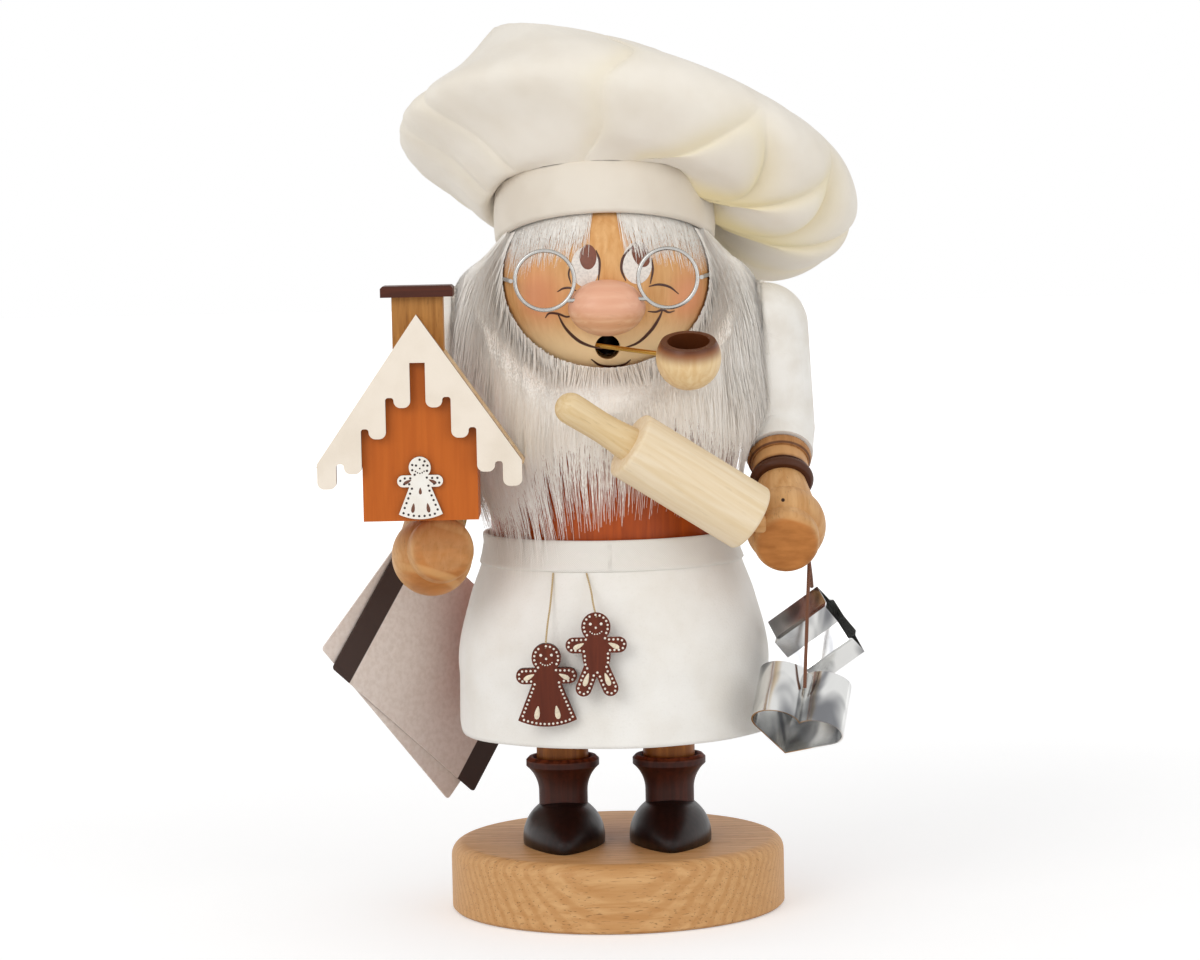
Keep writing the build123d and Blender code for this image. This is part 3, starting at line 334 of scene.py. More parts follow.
def piece(name, points, faces, material, replaced=(), body="figure", uv=None, fold=None):
    """A smooth mesh from points in millimetres."""
    mesh = bpy.data.meshes.new(name)
    places = (np.asarray(points).reshape(-1, 3) / 1000).tolist()
    mesh.from_pydata(places, [], [list(map(int, face)) for face in faces])
    mesh.polygons.foreach_set("use_smooth", [True] * len(mesh.polygons))
    if uv is not None:
        corners = np.empty(len(mesh.loops), dtype=np.int32)
        mesh.loops.foreach_get("vertex_index", corners)
        mesh.uv_layers.new(name="uv").data.foreach_set("uv", np.asarray(uv).reshape(-1, 2)[corners].ravel())
    if fold is not None:
        mesh.attributes.new("fold", "FLOAT", "POINT").data.foreach_set("value", np.asarray(fold).ravel())
    mesh.update()
    return ridden(name, mesh, material, body, replaced)


def through(stations, values, at):
    """Smooth curve through values at rising stations, read at the places asked for."""
    stations = np.asarray(stations, float)
    values = np.asarray(values, float)
    at = np.asarray(at, float)
    slopes = np.gradient(values, stations, axis=0)
    i = np.clip(np.searchsorted(stations, at, side="right") - 1, 0, len(stations) - 2)
    step = stations[i + 1] - stations[i]
    t = (at - stations[i]) / step
    form = t.shape + (1,) * (values.ndim - 1)
    t = t.reshape(form)
    step = step.reshape(form)
    start = (1 + 2 * t) * (1 - t) ** 2 * values[i] + t * (1 - t) ** 2 * step * slopes[i]
    end = t ** 2 * (3 - 2 * t) * values[i + 1] + t ** 2 * (t - 1) * step * slopes[i + 1]
    return start + end


def hoop(name, rings, profile, radius, material, node):
    """Closed band of cloth from rings of points; the radius gives the weave its scale."""
    columns = len(rings[0])
    uv = np.stack(np.meshgrid(circle(columns) * radius, [height for _, height in profile]), axis=-1)
    piece(name, np.array(rings), grid(len(rings), columns, True), material, [node], uv=uv)


def unit(vectors):
    return vectors / np.maximum(norm(vectors, axis=-1, keepdims=True), 1e-9)


def circle(columns):
    """Angles of a closed ring of points."""
    return np.linspace(0, 2 * pi, columns, endpoint=False)


def round_axis(spread, turns, heights):
    """Points at a distance from the upright axis, at angles from the front to the right."""
    return np.stack([spread * np.sin(turns), -spread * np.cos(turns), heights], axis=-1)


# Cords
def cord(name, points, diameter, material, body, node):
    """A round cord along points in millimetres, in place of its CAD node."""
    curve = bpy.data.curves.new(name, "CURVE")
    curve.dimensions = "3D"
    curve.bevel_depth = diameter / 2000
    curve.bevel_resolution = 4
    curve.resolution_u = 16
    curve.use_fill_caps = True
    spline = curve.splines.new("NURBS")
    spline.points.add(len(points) - 1)
    for target, point in zip(spline.points, points):
        target.co = (*(np.asarray(point) / 1000), 1.0)
    spline.order_u = 3
    spline.use_endpoint_u = True
    return ridden(name, curve, material, body, [node])


def twine(name, pale, deep):
    surface = Surface(name, 0.8, sheen=0.2)
    ply = surface.wave(surface.stretch(surface.place, (1.0, 1.0, 0.7)), 0.9, 1.0, 2.0, "DIAGONAL")
    surface.bump(ply, 0.6, 0.0002)
    return surface.finish(surface.mix(ply, pale, deep))


def routed(place, route):
    """Points of a cord's route, which is given from a place."""
    return [place + np.array(point) for point in route]


brown_twine = twine("brown_twine", "8a5638", "4f2a18")
gold_twine = twine("gold_twine", "d8b667", "a27f35")
pale_thread = twine("pale_thread", "d9c49c", "b0905e")
strand_width = 1.2
thread_width = 0.6
tag_points = routed(hands["left"], [
    (-1.55, 51.4, -10.6), (-5.8, 34.0, -1.0), (-8.8, 17.0, 12.5), (-6.6, 8.2, 20.6), (1.3, 5.8, 22.8),
    (9.2, 8.2, 20.6), (11.4, 17.0, 12.5), (6.4, 34.0, -1.0), (-0.25, 52.7, -10.6),
])
tag_loop = cord("tag_loop", tag_points, strand_width, gold_twine, "figure", "tag_cord")
heart_points = routed(hands["right"], [
    (7.3, -1.6, -11.3), (6.4, -4.4, -25.0), (5.6, -6.8, -38.0), (4.8, -8.8, -51.2),
])
heart_strand = cord("heart_strand", heart_points, strand_width, brown_twine, "cutters",
                    "heart_cord")
star_points = routed(hands["right"], [(7.3, 0.6, -11.3), (8.2, 5.4, -16.4), (8.7, 10.7, -20.9)])
cord("star_strand", star_points, strand_width, brown_twine, "cutters", "star_cord")
thread_overlap = 1.9
for name, (middle, lean, hook, _) in breads.items():
    half = bread_height / 2
    top = middle + np.array([0, half * sin(lean) - bread_thickness / 2 * cos(lean), half * cos(lean)])
    tail = top + unit(top - hook) * thread_overlap
    points = [hook, hook * 0.6 + tail * 0.4 + (0.3, 0.1, 0), hook * 0.3 + tail * 0.7 - (0.2, 0, 0), tail]
    cord(f"{name}_string", points, thread_width, pale_thread, f"gingerbread_{name}",
         f"{name}_thread")


# Turned and stained wood
def turned(names, *shades, **looks):
    """Give nodes one plain wood."""
    dress(Wood(*shades, **looks).done(), *names)


turned(["base_disc", "boot_dowels", "wrist_dowels", "shoulder_dowels", "house_peg", "pin_peg"],
       "beech", "dcae78", "c08a52", fleck=0.7, ring=0.5, heart=(62.0, -30.0))
turned(["shoe_left", "shoe_right"], "shoe_stain", "26130f", "160b08", upright, rough=0.36, coat=0.06,
       fleck=0.2, soft=6.0)
turned(["leg_left", "leg_right"], "leg_stain", "ad6a20", "824a12", upright, rough=0.45, coat=0.05)
turned(["torso", "lower_body"], "body_stain", "bc520f", "9c3f08", upright, rough=0.38, coat=0.08,
       fleck=0.2, ring=0.3)
turned(["pin_roller"], "pin_maple", "f1dfc2", "e6cea6", pin_run, rough=0.6, fleck=0.1, ring=0.15)
turned(["pin_handle"], "handle_maple", "e9d2aa", "d8b985", pin_run, rough=0.55, fleck=0.2, ring=0.25)
turned(["house_block"], "house_stain", "c4651d", "b75a15", upright, rough=0.45, fleck=0.1, ring=0.2)
turned(["chimney"], "chimney_wood", "c48c4a", "97612a", upright)
turned(["chimney_cap"], "dark_board", "5a2814", "3c180b", rough=0.45)
turned(["roof_left", "roof_right"], "roof_board", "ecd6b0", "d2ad7c", (0, 1, 0), rough=0.6, fleck=0.5,
       ring=0.25)
boot_rim_z = 49.3
boot = Wood("boot_stain", "4c1f10", "32140a", upright, fleck=0.2)
# Painted highlight: a lighter brown in patches along the boot's rim
rim = boot.span(boot.along((0, 0, boot_rim_z), upright), -0.6, 1.0)
rim = boot.times(rim, boot.span(boot.noise(0.5), 0.3, 0.6))
dress(boot.done(boot.mix(rim, boot.tone, "7d4024")), "boot_shaft_left", "boot_shaft_right")
dress(painted("icing_paint", "efe3d3", "e6d9c7", burnt="6a3a1c"), "icing_gable")
dress(painted("figure_paint", "f4f0e8", "e9e1d4", burnt="3a2015"), "house_figure")
dress(painted("sleeve_paint", "f3f0ea", "e6e0d6"), "sleeve_left", "sleeve_right")
ginger = Wood("gingerbread", "6b2c16", "521f0e", upright, rough=0.55, fleck=0.15)
ginger_tone = ginger.blend(ginger.facing(frontal), 0.35, 0.75, "1c0c08", ginger.tone)
dress(ginger.done(ginger_tone), "gingerbread_man", "gingerbread_woman")

# Cuffs and hands, measured from the elbow; the painted shade of the peg's hole in the right hand is at a
# pixel of the photograph
cuff_lines = ((12.4, 13.3), (15.7, 16.6))
cuff_ring = (16.6, 21.2)
bulge_start = 21.2
sawn_way = (0.1, -0.86, -0.5)
peg_hole_shade_pixel = (783, 500)
for side, hand_place in hands.items():
    run = unit(hand_place - elbows[side])
    cuff = Wood(f"cuff_{side}", "bf8a57", "a06c3b", tuple(run), rough=0.45, ring=0.2)
    reach = cuff.along(elbows[side], run)
    low, high = cuff_ring
    ring = cuff.times(cuff.span(reach, low, low + 0.6), cuff.span(reach, high, high - 0.8))
    tone = cuff.mix(ring, cuff.tone, "d9a66e", 0.6)
    for low, high in cuff_lines:
        line = cuff.times(cuff.span(reach, low, low + 0.3), cuff.span(reach, high, high - 0.3))
        tone = cuff.mix(line, tone, "4a2413", 0.8)
    tone = cuff.blend(reach, bulge_start, bulge_start + 0.7, tone, "4b2713")
    dress(cuff.done(tone), f"cuff_{side}")
    hand = Wood(f"hand_{side}", "d9ab76", "c18c54", tuple(run), fleck=0.3, ring=0.3)
    facing = hand.vector("DOT_PRODUCT", hand.normal, sawn_way)
    tilted = hand.stretch(hand.place, (0.35, 0.3, 1.0))
    year = hand.wave(tilted, 0.035, 2.5, 2.0, "DIAGONAL")
    sawn = hand.blend(hand.noise(0.35, place=tilted), 0.3, 0.75, "c07c3e", "a4652c")
    sawn = hand.blend(year, 0.9, 1.0, sawn, "dcae74", 0.5)
    tone = hand.blend(facing, 0.35, 0.95, hand.tone, sawn)
    # Painted shade: a dark spot stands for the shaded inside of the peg's hole
    if side == "right":
        ray = tuple(pixel_ray(*peg_hole_shade_pixel))
        sight = hand.vector("CROSS_PRODUCT", hand.vector("SUBTRACT", hand.place, tuple(eye)), ray)
        tone = hand.blend(hand.vector("LENGTH", sight), 0.75, 0.45, tone, "2c1509")
    dress(hand.done(tone), f"hand_{side}")

# Pipe: pale bowl, burnt towards its rim, and darker inside its bore
bowl_centre = (25.4, -50.0, 182.58)
bowl_tilt = radians(20)
bowl_up = (0.0, -sin(bowl_tilt), cos(bowl_tilt))
bore_radius = 7.0
bore_floor = -7.2
bowl = Wood("pipe_bowl", "f0d6a8", "dfba84", upright, rough=0.4, coat=0.1, fleck=0.05, ring=0.2)
rise = bowl.along(bowl_centre, bowl_up)
offset = bowl.vector("SUBTRACT", bowl.place, bowl_centre)
axis_part = bowl.vector("SCALE", bowl_up, scale=rise)
radius = bowl.vector("LENGTH", bowl.vector("SUBTRACT", offset, axis_part))
bored = bowl.span(radius, bore_radius, bore_radius - 0.25)
bored = bowl.times(bored, bowl.span(rise, bore_floor, bore_floor + 0.4))
tone = bowl.blend(rise, 0.2, 4.6, bowl.tone, "8a5430")
tone = bowl.blend(rise, 3.9, 5.5, tone, "5c3018")
dress(bowl.done(bowl.mix(bored, tone, "5a2c12")), "pipe_bowl")

# Metal
tin_rough = 0.2
tin = Surface("tin", tin_rough, metal=1.0)
streaks = tin.noise(0.07, 2.0, 0.8, tin.stretch(tin.place, (1.0, 1.0, 0.3)))
tin.bump(tin.noise(0.06, 1.0), 0.25, 0.003)
# Painted reflections: the tin's colour runs in light and dark streaks that stand for what it reflects
tin_painted_reflections = tin.blend(streaks, 0.40, 0.60, "dededc", "7c7d80")
tin.finish(tin_painted_reflections, tin.varied(tin_rough, streaks, 0.2))
dress(tin.material, "heart_cutter", "star_cutter", "incense_dish")
dress(metal("steel_wire", "c4c2be", 0.28, 0.05), "spectacle_frame", "spectacle_temples", "dish_nail")
dress(metal("brass", "e6bc5e", 0.22, 0.02), "pipe_stem")

# Card of the hang tag: bare leaves, the front one with a plain band at each short edge
tag_yaw = radians(44)
tag_across = np.array([cos(tag_yaw), sin(tag_yaw), 0.0])
tag_hole = hands["left"] + np.array([-1.8, 53.0, -10.6])
hole_to_middle = 29.9
tag_roll = -42.7
tag_band_start = 29.6


def card(name, turn, banded):
    surface = Surface(name, 0.7)
    up = np.array(upright)
    swing = radians(turn)
    middle = tag_hole + hole_to_middle * (tag_across * sin(swing) - up * cos(swing))
    roll = radians(tag_roll + turn)
    length_way = tag_across * cos(roll) + up * sin(roll)
    end = surface.math("ABSOLUTE", surface.along(middle, length_way))
    fibres = surface.noise(0.6, 5.0)
    tone = surface.blend(fibres, 0.3, 0.75, "efe4dc", "e3d6cc")
    if banded:
        tone = surface.blend(end, tag_band_start, tag_band_start + 0.3, tone, "3d2b25")
    surface.bump(fibres, 0.1, 0.0001)
    return surface.finish(tone)


dress(card("card_front", 4.0, True), "tag_front")
dress(card("card_back", -4.0, False), "tag_back")


# Face: blushed wood and brush strokes, placed by the photograph's pixels
def on_head(px, py, lift):
    """Point over the head where the photograph's pixel shows it."""
    ray = pixel_ray(px, py)
    start = eye - head
    along = ray @ start
    room = along ** 2 - start @ start + (head_radius + lift) ** 2
    return eye + ray * (-along - sqrt(max(room, 0.0)))


cheek_pixels = ((538, 297), (690, 297))
cheek_reaches = (15.0, 14.0)
blush_core = 2.0
chin_light_top = 198.0
chin_light_fade = 14.0
mouth_edge = (3.95, 3.65)
face = Wood("face_wood", "e8b67c", "d59a5c", upright, rough=0.42, coat=0.05, fleck=0.15, ring=0.25)
tone = face.tone
for pixel, reach in zip(cheek_pixels, cheek_reaches):
    near = face.vector("DISTANCE", face.place, tuple(on_head(*pixel, 0.1)))
    tone = face.blend(near, reach, blush_core, tone, "ea9c74", 0.75)
# Painted light: the face turns paler below the chin's top, for light thrown up from the white beard
tone = face.blend(face.along((0, 0, chin_light_top), (0, 0, -1)), 0.0, chin_light_fade, tone, "ffe3b4", 0.85)
from_mouth = face.vector("SUBTRACT", face.place, (0.0, 0.0, mouth_z))
mouth = face.vector("LENGTH", face.stretch(from_mouth, (1.0, 0.0, 1.0)))
tone = face.blend(mouth, *mouth_edge, tone, "140a06")
dress(face.done(tone), "head")
nose_z = 198.4
nose = Wood("nose_wood", "e9bd95", "d79c72", rough=0.4, coat=0.15, fleck=0.2, ring=0.7)
top = nose.along((0, 0, nose_z), (0, -0.3, 1))
dress(nose.done(nose.blend(top, 8.0, 14.0, nose.tone, "eeb29a", 0.55)), "nose")


def paint(name, colour, rough=0.45):
    surface = Surface(name, rough)
    strokes = surface.noise(1.2)
    surface.bump(strokes, 0.1, 0.0001)
    deep = surface.mix(0.25, colour, (0.01, 0.006, 0.004, 1))
    return surface.finish(surface.blend(strokes, 0.35, 0.8, colour, deep))


line_paint = paint("line_paint", "4a2414")
white_paint = paint("white_paint", "f3ebe2")
iris_paint = paint("iris_paint", "7a4028")
stroke_lift = 0.22
stroke_crown = 0.15


def stroke(name, width, pixels):
    """Brush stroke over the head that swells in the middle."""
    rows = 28
    line = through(np.arange(len(pixels)), pixels, np.linspace(0, len(pixels) - 1, rows))
    points = np.array([on_head(px, py, stroke_lift) for px, py in line])
    outward = unit(points - head)
    side = unit(np.cross(np.gradient(points, axis=0), outward))
    swell = width / 2 * (0.35 + 0.65 * np.sin(np.linspace(0, pi, rows)))[:, None]
    edges = points - outward * stroke_crown
    ribbon = np.stack([edges - side * swell, points, edges + side * swell], axis=1)
    piece(name, ribbon, grid(rows, 3), line_paint)


def patch(name, centre, half, tilt, material, lift):
    """Oval patch of paint over the head."""
    rings, spokes = 7, 32
    points = []
    for r in np.linspace(0.02, 1, rings):
        for a in circle(spokes):
            x = half[0] * r * cos(a)
            y = half[1] * r * sin(a)
            px = centre[0] + x * cos(tilt) - y * sin(tilt)
            py = centre[1] + x * sin(tilt) + y * cos(tilt)
            points.append(on_head(px, py, lift))
    piece(name, points, grid(rings, spokes, True), material)


# Each patch: middle and half sizes in pixels, tilt, paint, and lift in millimetres
face_patches = {
    "eye_left": ((585, 267), (14, 20), 0.0, white_paint, 0.08),
    "eye_right": ((637, 263), (15, 21), 0.0, white_paint, 0.08),
    "iris_left": ((588, 257), (8.5, 12.5), 0.0, iris_paint, 0.16),
    "iris_right": ((641, 254), (8.5, 13.5), -0.35, iris_paint, 0.16),
}
# Each stroke: width in millimetres and the pixels that it passes
face_strokes = {
    "eye_line_left": (0.8, [(596, 250), (599.5, 262), (598.5, 281)]),
    "eye_side_left": (0.6, [(571, 263), (568.5, 274), (571, 284)]),
    "lash_left": (0.7, [(557, 292), (563, 288.5), (570, 288), (577, 291.5)]),
    "eye_line_right": (0.9, [(634, 245), (624, 256), (621.5, 269), (626, 281)]),
    "eye_side_right": (0.8, [(652, 258), (653, 270), (650.5, 284)]),
    "lash_right": (0.8, [(649, 286.5), (659, 284.5), (670, 287), (679, 294)]),
    "smile_left": (1.25, [(557, 313), (565, 328), (577, 340), (589, 346), (602, 349)]),
    "smile_right": (1.25, [(622, 349), (638, 343), (651, 331), (659, 319), (663, 310)]),
    "smile_tick_left": (0.8, [(545, 318), (549, 313.5), (558, 314), (567, 317), (576, 313.5)]),
    "smile_tick_right": (0.8, [(648, 311.5), (656, 312), (663, 310), (669, 312.5), (675, 311)]),
    "lip": (1.3, [(591, 359.5), (600, 365.5), (613, 367), (624, 365), (631, 360)]),
}
for name, values in face_patches.items():
    patch(name, *values)
for name, values in face_strokes.items():
    stroke(name, *values)


# Cap: a band, and a cloth bag that slumps to the right and to the back
def round_hat(turns):
    """Ways out from the cap's axis, at angles from the front to the right."""
    return np.sin(turns)[:, None] * (1, 0, 0) - np.cos(turns)[:, None] * hat_back


# The crown's fold colour is a yellow painted as shade in its creases
crown_cloth = cloth("crown_cloth", "f2ebdf", "eae1d2", fold="f2e2b0")
band_cloth = cloth("band_cloth", "e8dfd1", "dfd4c4")
turns = circle(200)
# Radius and height over the lower edge
band_profile = [
    (33.3, 0.8), (33.5, 0.2), (34.6, 0.0), (35.6, 0.25), (36.0, 1.2), (36.25, 5.0), (36.3, 9.0),
    (36.2, 13.0), (36.0, 16.4), (35.5, 17.5), (34.6, 18.0), (33.4, 17.4),
]
band_outside = 35
band = []
for i, (radius, height) in enumerate(band_profile):
    ripple = 0.12 * np.sin(turns * 9 + 0.4 * i) + 0.08 * np.sin(turns * 23 + i)
    spread = radius + ripple * (radius > band_outside)
    band.append(band_low + hat_up * height + spread[:, None] * round_hat(turns))
hoop("cap_band", band, band_profile, 36, band_cloth, "hat_band")

# Each ring: level, left and right (x, rise over the head), front and back (y, rise), y of left and right
crown_rings = [
    (0.5, (-40, 25), (43, 17), (-29, 43), (46, 9), 7.0),
    (1.0, (-50, 35), (60, 8), (-34, 47), (50, 4), 8.0),
    (2.0, (-66.5, 49.5), (82, 16.5), (-43.5, 62), (62.5, 13), 10.0),
    (3.0, (-50, 65), (74, 41), (-38, 72.5), (60, 36), 12.0),
    (4.0, (-35.5, 81.5), (33, 66), (-21, 79.5), (44.5, 64.5), 12.0),
]
top_level = 4
seam_radius = 35.2
seam_middle = band_low + hat_up * 17.0
columns = 720
turns = circle(columns)
ahead = np.cos(turns)[:, None]
aside = np.sin(turns)[:, None]
twice = np.cos(2 * turns)[:, None]
stations = [0.0]
rings = [seam_middle + seam_radius * round_hat(turns)]
middles = [seam_middle]
for level, left, right, front, back, middle_y in crown_rings:
    middle_x = (left[0] + right[0]) / 2
    left = np.array([left[0], middle_y, left[1]])
    right = np.array([right[0], middle_y, right[1]])
    front = np.array([middle_x, *front])
    back = np.array([middle_x, *back])
    lengthwise = (front + back) / 2
    crosswise = (left + right) / 2
    middle = head + (lengthwise + crosswise) / 2
    oval = ahead * (front - back) / 2 + aside * (right - left) / 2
    rings.append(middle + oval + twice * (lengthwise - crosswise) / 2)
    stations.append(level)
    middles.append(middle)
levels = np.linspace(0, top_level, 120)
bag = through(stations, np.array(rings), levels)
centres = through(stations, np.array(middles), levels)
outward = unit(bag - centres[:, None])
# Each crease: angle from the front to the right at the band and at the top, bend, depth, half width,
# last level and tint, the share of painted yellow shade along it
creases = [
    (-72, -88, 0, 2.0, 8, 2.6, 0.1), (-44, -80, 0, 2.3, 4.5, 4.6, 0.1), (-11, 2, 2, 2.6, 4, 4.6, 0.2),
    (18, 36, -3, 4.5, 4, 2.6, 0.5), (47, 38, 7, 9.0, 5, 2.5, 0.8), (63, 54, -5, 8.0, 3.5, 2.3, 0.8),
    (76, 70, 7, 10.0, 5, 2.8, 0.8), (92, 88, -5, 8.0, 4, 2.4, 0.8), (112, 106, 4, 5.5, 6, 3.0, 0.4),
    (136, 130, -3, 3.5, 8, 3.4, 0.3), (160, 158, 3, 3.0, 8, 3.4, 0.2), (186, 184, -2, 2.8, 8, 3.4, 0.2),
    (212, 214, 2, 2.6, 8, 3.4, 0.2), (240, 244, 0, 2.0, 8, 3.0, 0.2),
]
degrees = np.degrees(turns)[None]
rows = levels[:, None]
dent = np.zeros(bag.shape[:2])
crease_shade = np.zeros(bag.shape[:2])
for low_angle, high_angle, bend, depth, half, last, tint in creases:
    middle = low_angle + (high_angle - low_angle) * rows / top_level + bend * np.sin(rows * pi / 1.6)
    away = ((degrees - middle + 180) % 360 - 180) / half
    valley = np.exp(-np.abs(np.where(away > 0, away * 1.8, away)))
    reach = np.clip(0.35 + rows, 0, 1) * np.clip((last - rows) / 1.1, 0, 1)
    dent += depth * reach * valley
    # Painted yellow shade along each crease, a little to one side of its valley
    crease_shade += tint * reach * np.exp(-np.abs(away + 0.4) ** 1.5)
slope_angle, slope_half_angle = 52, 30
slope_level, slope_half_level = 3.4, 0.55
slope_depth = 7.0
slope = ((degrees - slope_angle) / slope_half_angle) ** 2 + ((rows - slope_level) / slope_half_level) ** 2
dent += slope_depth * np.exp(-slope)
wrinkle = 0.2 * np.sin(turns * 31 + rows * 3.1) * np.sin(rows * 5 + turns * 7)
swell = 0.8 + 2.2 * ahead[:, 0] ** 2 * np.clip(rows, 0, 1)
bag = bag + outward * (swell - dent + wrinkle)[..., None]
# The lid is a shallow dome over the last ring, which shrinks to a small face
shrink = [0.985, 0.96, 0.92, 0.85, 0.75, 0.6, 0.45, 0.3, 0.15, 0.01]
lid_rise = 1.6
top_ring = bag[-1]
quarter = columns // 4
top_up = unit(np.cross(top_ring[quarter] - top_ring[3 * quarter], top_ring[2 * quarter] - top_ring[0]))
lid_middle = top_ring.mean(axis=0)
lid = [lid_middle + (top_ring - lid_middle) * s + top_up * lid_rise * sqrt(1 - s ** 4) for s in shrink]
bag = np.concatenate([bag, np.array(lid)])
crease_shade = np.clip(np.concatenate([crease_shade, np.zeros((len(lid), columns))]), 0, 1)
crown_uv = np.stack(np.meshgrid(np.degrees(turns), np.linspace(0, 110, len(bag))), axis=-1)
last_ring = list(range((len(bag) - 1) * columns, len(bag) * columns))
cap_faces = grid(len(bag), columns, True).tolist() + [last_ring]
piece("cap_crown", bag, cap_faces, crown_cloth, ["hat_crown"], uv=crown_uv, fold=crease_shade)

# Apron: felt round the front and sides, and a tape round the waist
bell_rises = [-9, 0, 15, 36, 52, 70, 87, 99, 106, 110]
bell_radii = [44.8, 47.0, 49.3, 45.0, 39.8, 40.5, 43.0, 41.0, 33.5, 21.5]


def bell(z):
    """Radius of the torso's turned bell at a height."""
    return through(bell_rises, bell_radii, np.asarray(z, float) - seam_z)


felt = Surface("felt", 0.9, sheen=0.3)
fibres = felt.noise(1.4, 6.0, 0.5)
felt.bump(fibres, 0.25, 0.0004)
felt_tone = felt.blend(felt.noise(0.06), 0.3, 0.8, "f5f2ec", "ece7de")
felt.finish(felt.blend(fibres, 0.5, 0.8, felt_tone, "dcd6cb", 0.2))
apron_hem = 59
apron_top = 118
apron_reach = radians(100)
apron_girth = 50
corner_radius = 24
hang_z = 84
hang_radius = 48.9
sway_top = 92
sway_fade = 30
felt_sides = (0.95, 1.85)
columns, rows = 160, 48
turns = np.linspace(-apron_reach, apron_reach, columns)
corner = np.clip(1 - (apron_reach - np.abs(turns)) * apron_girth / corner_radius, 0, 1)
hem = apron_hem + corner_radius * (1 - np.sqrt(1 - corner ** 2))
heights = hem[None] + (apron_top - hem)[None] * np.linspace(0, 1, rows)[:, None]
hang = np.where(heights < hang_z, hang_radius + (hang_z - heights) * 0.02, 0)
drape = np.maximum(bell(heights), hang)
waves = 0.5 * np.sin(turns * 5.5 + 0.6) + 0.35 * np.sin(turns * 11)
sway = np.clip((sway_top - heights) / sway_fade, 0, 1) * waves * 0.6
skirts = [round_axis(drape + sway + side, turns, heights) for side in felt_sides]
count = rows * columns
shell = grid(rows, columns)
edge = np.concatenate([
    np.arange(columns), np.arange(2, rows) * columns - 1,
    np.arange(count - 1, count - columns - 1, -1), np.arange(rows - 2, 0, -1) * columns,
])
border = np.stack([edge, np.roll(edge, -1), np.roll(edge, -1) + count, edge + count], axis=-1)
skirt = piece("apron_felt", np.array(skirts), np.concatenate([shell[:, ::-1], shell + count, border]),
              felt.material, ["apron_skirt"])

tape = Surface("tape", 0.85, sheen=0.2)
rib = tape.wave(tape.uv, 0.9, 0.2, 1.0, "DIAGONAL")
cross = tape.wave(tape.stretch(tape.uv, (-1.0, 1.0, 1.0)), 0.9, 0.2, 1.0, "DIAGONAL")
twill = tape.times(rib, cross)
tape.bump(twill, 0.5, 0.0003)
tape.finish(tape.mix(twill, "f4f0e8", "d8d0c2", 0.35))
tape_low = 114.5
tape_gap = 1.4
# Thickness and height over the lower edge
tape_profile = [
    (0.2, 0.3), (0.9, 0.0), (1.25, 0.3), (1.3, 1.2), (1.15, 3.0), (1.15, 7.0), (1.3, 8.8), (1.25, 9.7),
    (0.9, 10.0), (0.2, 9.7),
]
turns = circle(200)
band = []
for step, height in tape_profile:
    spread = bell(tape_low + height) + tape_gap + step + 0.1 * np.sin(turns * 13 + height)
    band.append(round_axis(spread, turns, np.full(len(turns), tape_low + height)))
hoop("apron_tape", band, tape_profile, 43, tape.material, "apron_band")

# Fur: an opaque fleece with long straight strands over it
fur = Surface("fur", 0.7, sheen=1.0)
lock = fur.noise(0.9, place=fur.stretch(fur.place, (1.3, 1.3, 0.08)))
fur_tone = fur.blend(lock, 0.3, 0.75, "fffcf6", "f8f1e8")
strand_tint = fur.add("Attribute", attribute_name="fold").outputs["Fac"]
fur_tone = fur.mix(strand_tint, fur_tone, "d6cabd")
fur.finish(fur.blend(fur.noise(0.04, 2.0), 0.4, 0.7, fur_tone, "f1e7db", 0.3))
beard_rises = [-90, -79, -55, -28, -10, 8, 20]
beard_halves = [(42, 43.4), (44, 43.6), (52, 44.5), (52, 42), (51, 40), (45, 32), (36, 29)]
hair_rises = [-60, -46, -23, -7.7, 8.5, 17, 24]
hair_radii = [43, 44, 50, 51, 46, 34, 28]
face_half_width = 33.8
face_half_height = 29.7
face_middle_z = 207.6
skin_radius = 35.6
skin_least_depth = 8.0
tuck_width = 7 / 31
pinch_radius = 35.0
pinch_height = 7
band_gap = 0.4


def from_face(x, z):
    """Way from the middle of the face, 1 at the edge of the fur's opening."""
    return np.sqrt((x / face_half_width) ** 2 + ((z - face_middle_z) / face_half_height) ** 2)


def fur_shell(turn, z, lift):
    """Point at an angle from the front and a height on the outside of the fur, and the way out of it.

    Round the face the fur is tucked to the skin, and under the cap's band it is pinched in.
    """
    rise = z - head[2]
    front = np.clip(np.cos(turn) / 0.5 + 0.5, 0, 1)[..., None]
    back = through(hair_rises, hair_radii, rise)[..., None]
    halves = front * through(beard_rises, beard_halves, rise) + (1 - front) * back
    out = unit(np.stack([np.sin(turn) / halves[..., 0], -np.cos(turn) / halves[..., 1], 0 * z], axis=-1))
    x = halves[..., 0] * np.sin(turn)
    y = -halves[..., 1] * np.cos(turn)
    edge = np.maximum(from_face(x, z) - 1, 0)
    tuck = np.exp(-(edge / tuck_width) ** 2) * (y < 0) * 0.9
    skin = -np.sqrt(np.maximum(skin_radius ** 2 - x ** 2 - rise ** 2, skin_least_depth ** 2))
    y = y + tuck * np.maximum(skin - y, 0)
    point = np.stack([x, y, z], axis=-1)
    above = (point - band_low) @ hat_up
    spoke = point - band_low - above[..., None] * hat_up
    length = norm(spoke, axis=-1)
    pinch = np.exp(-(np.minimum(above, 0) / pinch_height) ** 2)
    pinch = pinch * np.maximum(length - pinch_radius, 0) / np.maximum(length, 1)
    return point - spoke * pinch[..., None] + out * np.asarray(lift)[..., None], out


def off_limb(points, start, end, first, last):
    """Move points out of a round tapered limb."""
    run = end - start
    t = np.clip(((points - start) @ run) / (run @ run), 0, 1)[..., None]
    away = points - start - run * t
    distance = norm(away, axis=-1, keepdims=True)
    wanted = first + (last - first) * t
    return np.where(distance < wanted, start + run * t + away / np.maximum(distance, 1e-6) * wanted, points)


